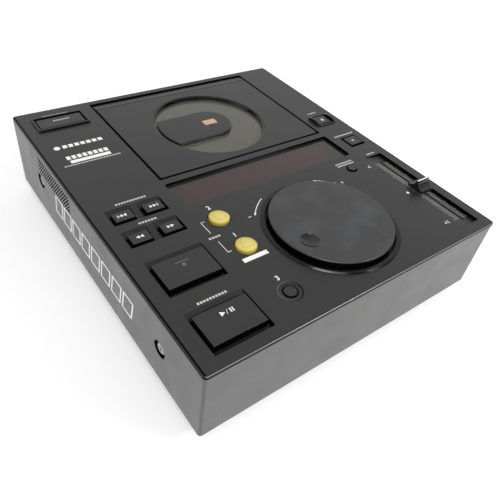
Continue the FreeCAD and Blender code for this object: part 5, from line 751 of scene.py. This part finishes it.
mark = Print("play_key")
mark.point_to(-123.6, -143.0, 4.0, 4.4)
mark.line([(-118.9, -145.1), (-117.3, -140.9)], 0.4)
for u in (-115.6, -113.6):
    mark.bar(u, u + 1.1, -145.0, -141.0)
mark.done("play_mark", "play_rocker", ink)

POINT_W = 3.1               # the two triangles of a track or search key
POINT_H = 3.4
POINT_PLACES = (-3.2, 0.2)
STOP_OUT = 3.9              # the bar in front of the triangles of a track key
STOP_W = 0.8
LEFT_U = -133.6
RIGHT_U = -105.9
TRACK_V = -13.4
SEARCH_V = -43.4
for name, u, v, side in (("track_back", LEFT_U, TRACK_V, -1), ("track_forward", RIGHT_U, TRACK_V, 1),
                         ("search_back", LEFT_U, SEARCH_V, -1),
                         ("search_forward", RIGHT_U, SEARCH_V, 1)):
    mark = Print(name + "_key")
    for step in POINT_PLACES:
        mark.point_to(u + side * step, v, side * POINT_W, POINT_H)
    if v == TRACK_V:
        ends = sorted((u + side * STOP_OUT, u + side * (STOP_OUT + STOP_W)))
        mark.bar(*ends, v - POINT_H / 2, v + POINT_H / 2)
    mark.done(name + "_mark", name + "_rocker", ink)

mark = Print("power_button")
mark.blocks(-128, -111, 152.6, 154.8, 6)
mark.done("power_mark", "power_push", dim_ink)

mark = Print("open_button")
mark.shape([(135.3, 37.6), (139.7, 37.6), (137.5, 40.2)])
mark.bar(135.3, 139.7, 35.9, 36.7)
mark.done("open_mark", "open_push", ink)

mark = Print("master_tempo_button")
mark.bar(137.0, 140.2, -12.4, -10.0)
mark.done("master_mark", "master_tempo_push", dim_ink)

mark = Print("clamp_cover")
mark.bar(CENTRE_X - 6.5, CENTRE_X + 8.5, WINDOW_Y - 3.6, WINDOW_Y + 5.2)
mark.done("disc_mark", "lid", gold_ink)

# slanted frames on the left side, where the photo has large lettering
SIDE_Z = (39.5, 60.0)
SIDE_PITCH = 20.0
SIDE_W = 15.5
SIDE_SLANT = 4.5
SIDE_LINE = 1.9
SIDE_FRAMES = 8
side_print = Print("case_wrap", origin=(-200, 0, 0), right=(0, -1, 0), up=(0, 0, 1))
low, high = SIDE_Z
for i in range(SIDE_FRAMES):
    u = (i - SIDE_FRAMES / 2) * SIDE_PITCH
    corners = [(u + SIDE_W, low), (u + SIDE_W + SIDE_SLANT, high), (u + SIDE_SLANT, high), (u, low)]
    start = (u + SIDE_W / 2, low)
    side_print.line([start, *corners, start], SIDE_LINE)
side_print.done("side_frames", "case", ink)

# rear marks and the coloured rings of the sockets
rear_print = Print("rear_panel", origin=(0, 300, 0), right=(-1, 0, 0), up=(0, 0, 1))
for x in JACK_X:
    rear_print.blocks(-x - 5, -x + 5, JACK_Z + 9.0, JACK_Z + 10.6, 5)
rear_print.blocks(-52, 52, 68.0, 70.0, 40)
rear_print.blocks(98, 132, 68.0, 70.0, 14)
rear_print.bar(-132, -90, 66.0, 66.6)
rear_print.done("rear_print", "case", ink)

RING_Y = 169.5              # front of the socket's flange
RING_T = 1.6
RING_R = (4.3, 5.9)
RING_BEVEL = 0.3
RING_STEPS = 48


def socket_ring(name, x, finish):
    """A coloured collar pushed over a phono socket."""
    inner, outer = RING_R
    back = RING_Y + RING_T
    profile = [(inner, RING_Y), (outer, RING_Y), (outer, back - RING_BEVEL), (outer - RING_BEVEL, back),
               (inner + RING_BEVEL, back), (inner, back - RING_BEVEL)]
    made = bmesh.new()
    loops = []
    for i in range(RING_STEPS):
        turn = 2 * math.pi * i / RING_STEPS
        across = math.cos(turn)
        up = math.sin(turn)
        loops.append([made.verts.new(Vector((x + r * across, y, JACK_Z + r * up)) * MM)
                      for r, y in profile])
    for i in range(RING_STEPS):
        here = loops[i]
        after = loops[(i + 1) % RING_STEPS]
        for k in range(len(profile)):
            other = (k + 1) % len(profile)
            made.faces.new((here[k], here[other], after[other], after[k]))
    bmesh.ops.recalc_face_normals(made, faces=made.faces)
    add_piece(name, made, finish, "case")


RINGS = (("ring_red", (0.42, 0.02, 0.02)), ("ring_white", (0.72, 0.72, 0.70)),
         ("ring_orange", (0.55, 0.20, 0.02)))
for x, (name, colour) in zip(JACK_X, RINGS):
    socket_ring(name, x, moulding(name + "_moulding", colour, 0.3, dust=0.0))

# ---------------------------------------------------------------- floor, light, camera
FLOOR_HALF = 6.0
floor_mesh = bpy.data.meshes.new("floor")
corners = [(-FLOOR_HALF, -FLOOR_HALF, 0), (FLOOR_HALF, -FLOOR_HALF, 0), (FLOOR_HALF, FLOOR_HALF, 0),
           (-FLOOR_HALF, FLOOR_HALF, 0)]
floor_mesh.from_pydata(corners, [], [(0, 1, 2, 3)])
floor = bpy.data.objects.new("floor", floor_mesh)
bpy.context.scene.collection.objects.link(floor)
paper = Finish("pale_floor")
paper.set(base_color=(0.94, 0.94, 0.94, 1.0), roughness=0.9, specular_ior_level=0.0,
          emission_color=(1.0, 1.0, 1.0, 1.0), emission_strength=0.075)
floor_mesh.materials.append(paper.material)

world = bpy.data.worlds.new("studio")
bpy.context.scene.world = world
world.use_nodes = True
tree = world.node_tree


def backdrop(colour, strength):
    made = tree.nodes.new("ShaderNodeBackground")
    made.inputs["Color"].default_value = (colour, colour, colour, 1.0)
    made.inputs["Strength"].default_value = strength
    return made.outputs[0]


def choose(share, a, b):
    made = tree.nodes.new("ShaderNodeMixShader")
    tree.links.new(share, made.inputs[0])
    tree.links.new(a, made.inputs[1])
    tree.links.new(b, made.inputs[2])
    return made.outputs[0]


ROOM_FRONT = 0.22           # the room in gloss and through glass, before and behind the object
ROOM_BEHIND = 0.80
ROOM_TURN = (-0.55, 0.15)   # where it changes, as a direction's part along y
AMBIENT = 0.62
where = tree.nodes.new("ShaderNodeTexCoord")
axes = tree.nodes.new("ShaderNodeSeparateXYZ")
tree.links.new(where.outputs["Generated"], axes.inputs[0])
room = tree.nodes.new("ShaderNodeMapRange")
tree.links.new(axes.outputs[1], room.inputs["Value"])
room.inputs["From Min"].default_value = ROOM_TURN[0]
room.inputs["From Max"].default_value = ROOM_TURN[1]
path = tree.nodes.new("ShaderNodeLightPath")
mirrored = tree.nodes.new("ShaderNodeMath")
mirrored.operation = "MAXIMUM"
tree.links.new(path.outputs["Is Glossy Ray"], mirrored.inputs[0])
tree.links.new(path.outputs["Is Transmission Ray"], mirrored.inputs[1])
room_light = choose(room.outputs[0], backdrop(ROOM_FRONT, 1.0), backdrop(ROOM_BEHIND, 1.0))
light = choose(mirrored.outputs[0], backdrop(1.0, AMBIENT), room_light)
light = choose(path.outputs["Is Camera Ray"], light, backdrop(1.0, 1.0))
tree.links.new(light, tree.nodes["World Output"].inputs[0])



def hang(lamp, place):
    """Turns a lamp at place, in metres, to the middle of the floor."""
    holder = bpy.data.objects.new(lamp.name, lamp)
    holder.location = place
    holder.rotation_mode = "QUATERNION"
    holder.rotation_quaternion = Vector(place).to_track_quat("Z", "Y")
    bpy.context.scene.collection.objects.link(holder)


sun = bpy.data.lights.new("key", "SUN")
sun.energy = 1.35
sun.angle = 0.7
hang(sun, (-0.44, -0.72, 1.0))

for name, place, width, height, energy in (("softbox", (-0.9, -1.1, 1.5), 0.7, 0.35, 6.0),
                                           ("strip", (0.9, -1.2, 1.0), 0.5, 0.12, 8.0)):
    lamp = bpy.data.lights.new(name, "AREA")
    lamp.shape = "RECTANGLE"
    lamp.size = width
    lamp.size_y = height
    lamp.energy = energy
    hang(lamp, place)

# where the photo was taken from, worked out from the corners of the case
camera = bpy.data.cameras.new("camera")
camera.sensor_width = 36.0
camera.lens = 37.002
camera.clip_start = 0.01
camera_object = bpy.data.objects.new("camera", camera)
camera_object.location = (-0.269871, -0.323525, 0.366023)
camera_object.rotation_mode = "QUATERNION"
camera_object.rotation_quaternion = Quaternion((0.8758618, 0.3652388, -0.1751064, -0.2623059))
bpy.context.scene.collection.objects.link(camera_object)
bpy.context.scene.camera = camera_object
bpy.context.scene.view_settings.view_transform = "Standard"
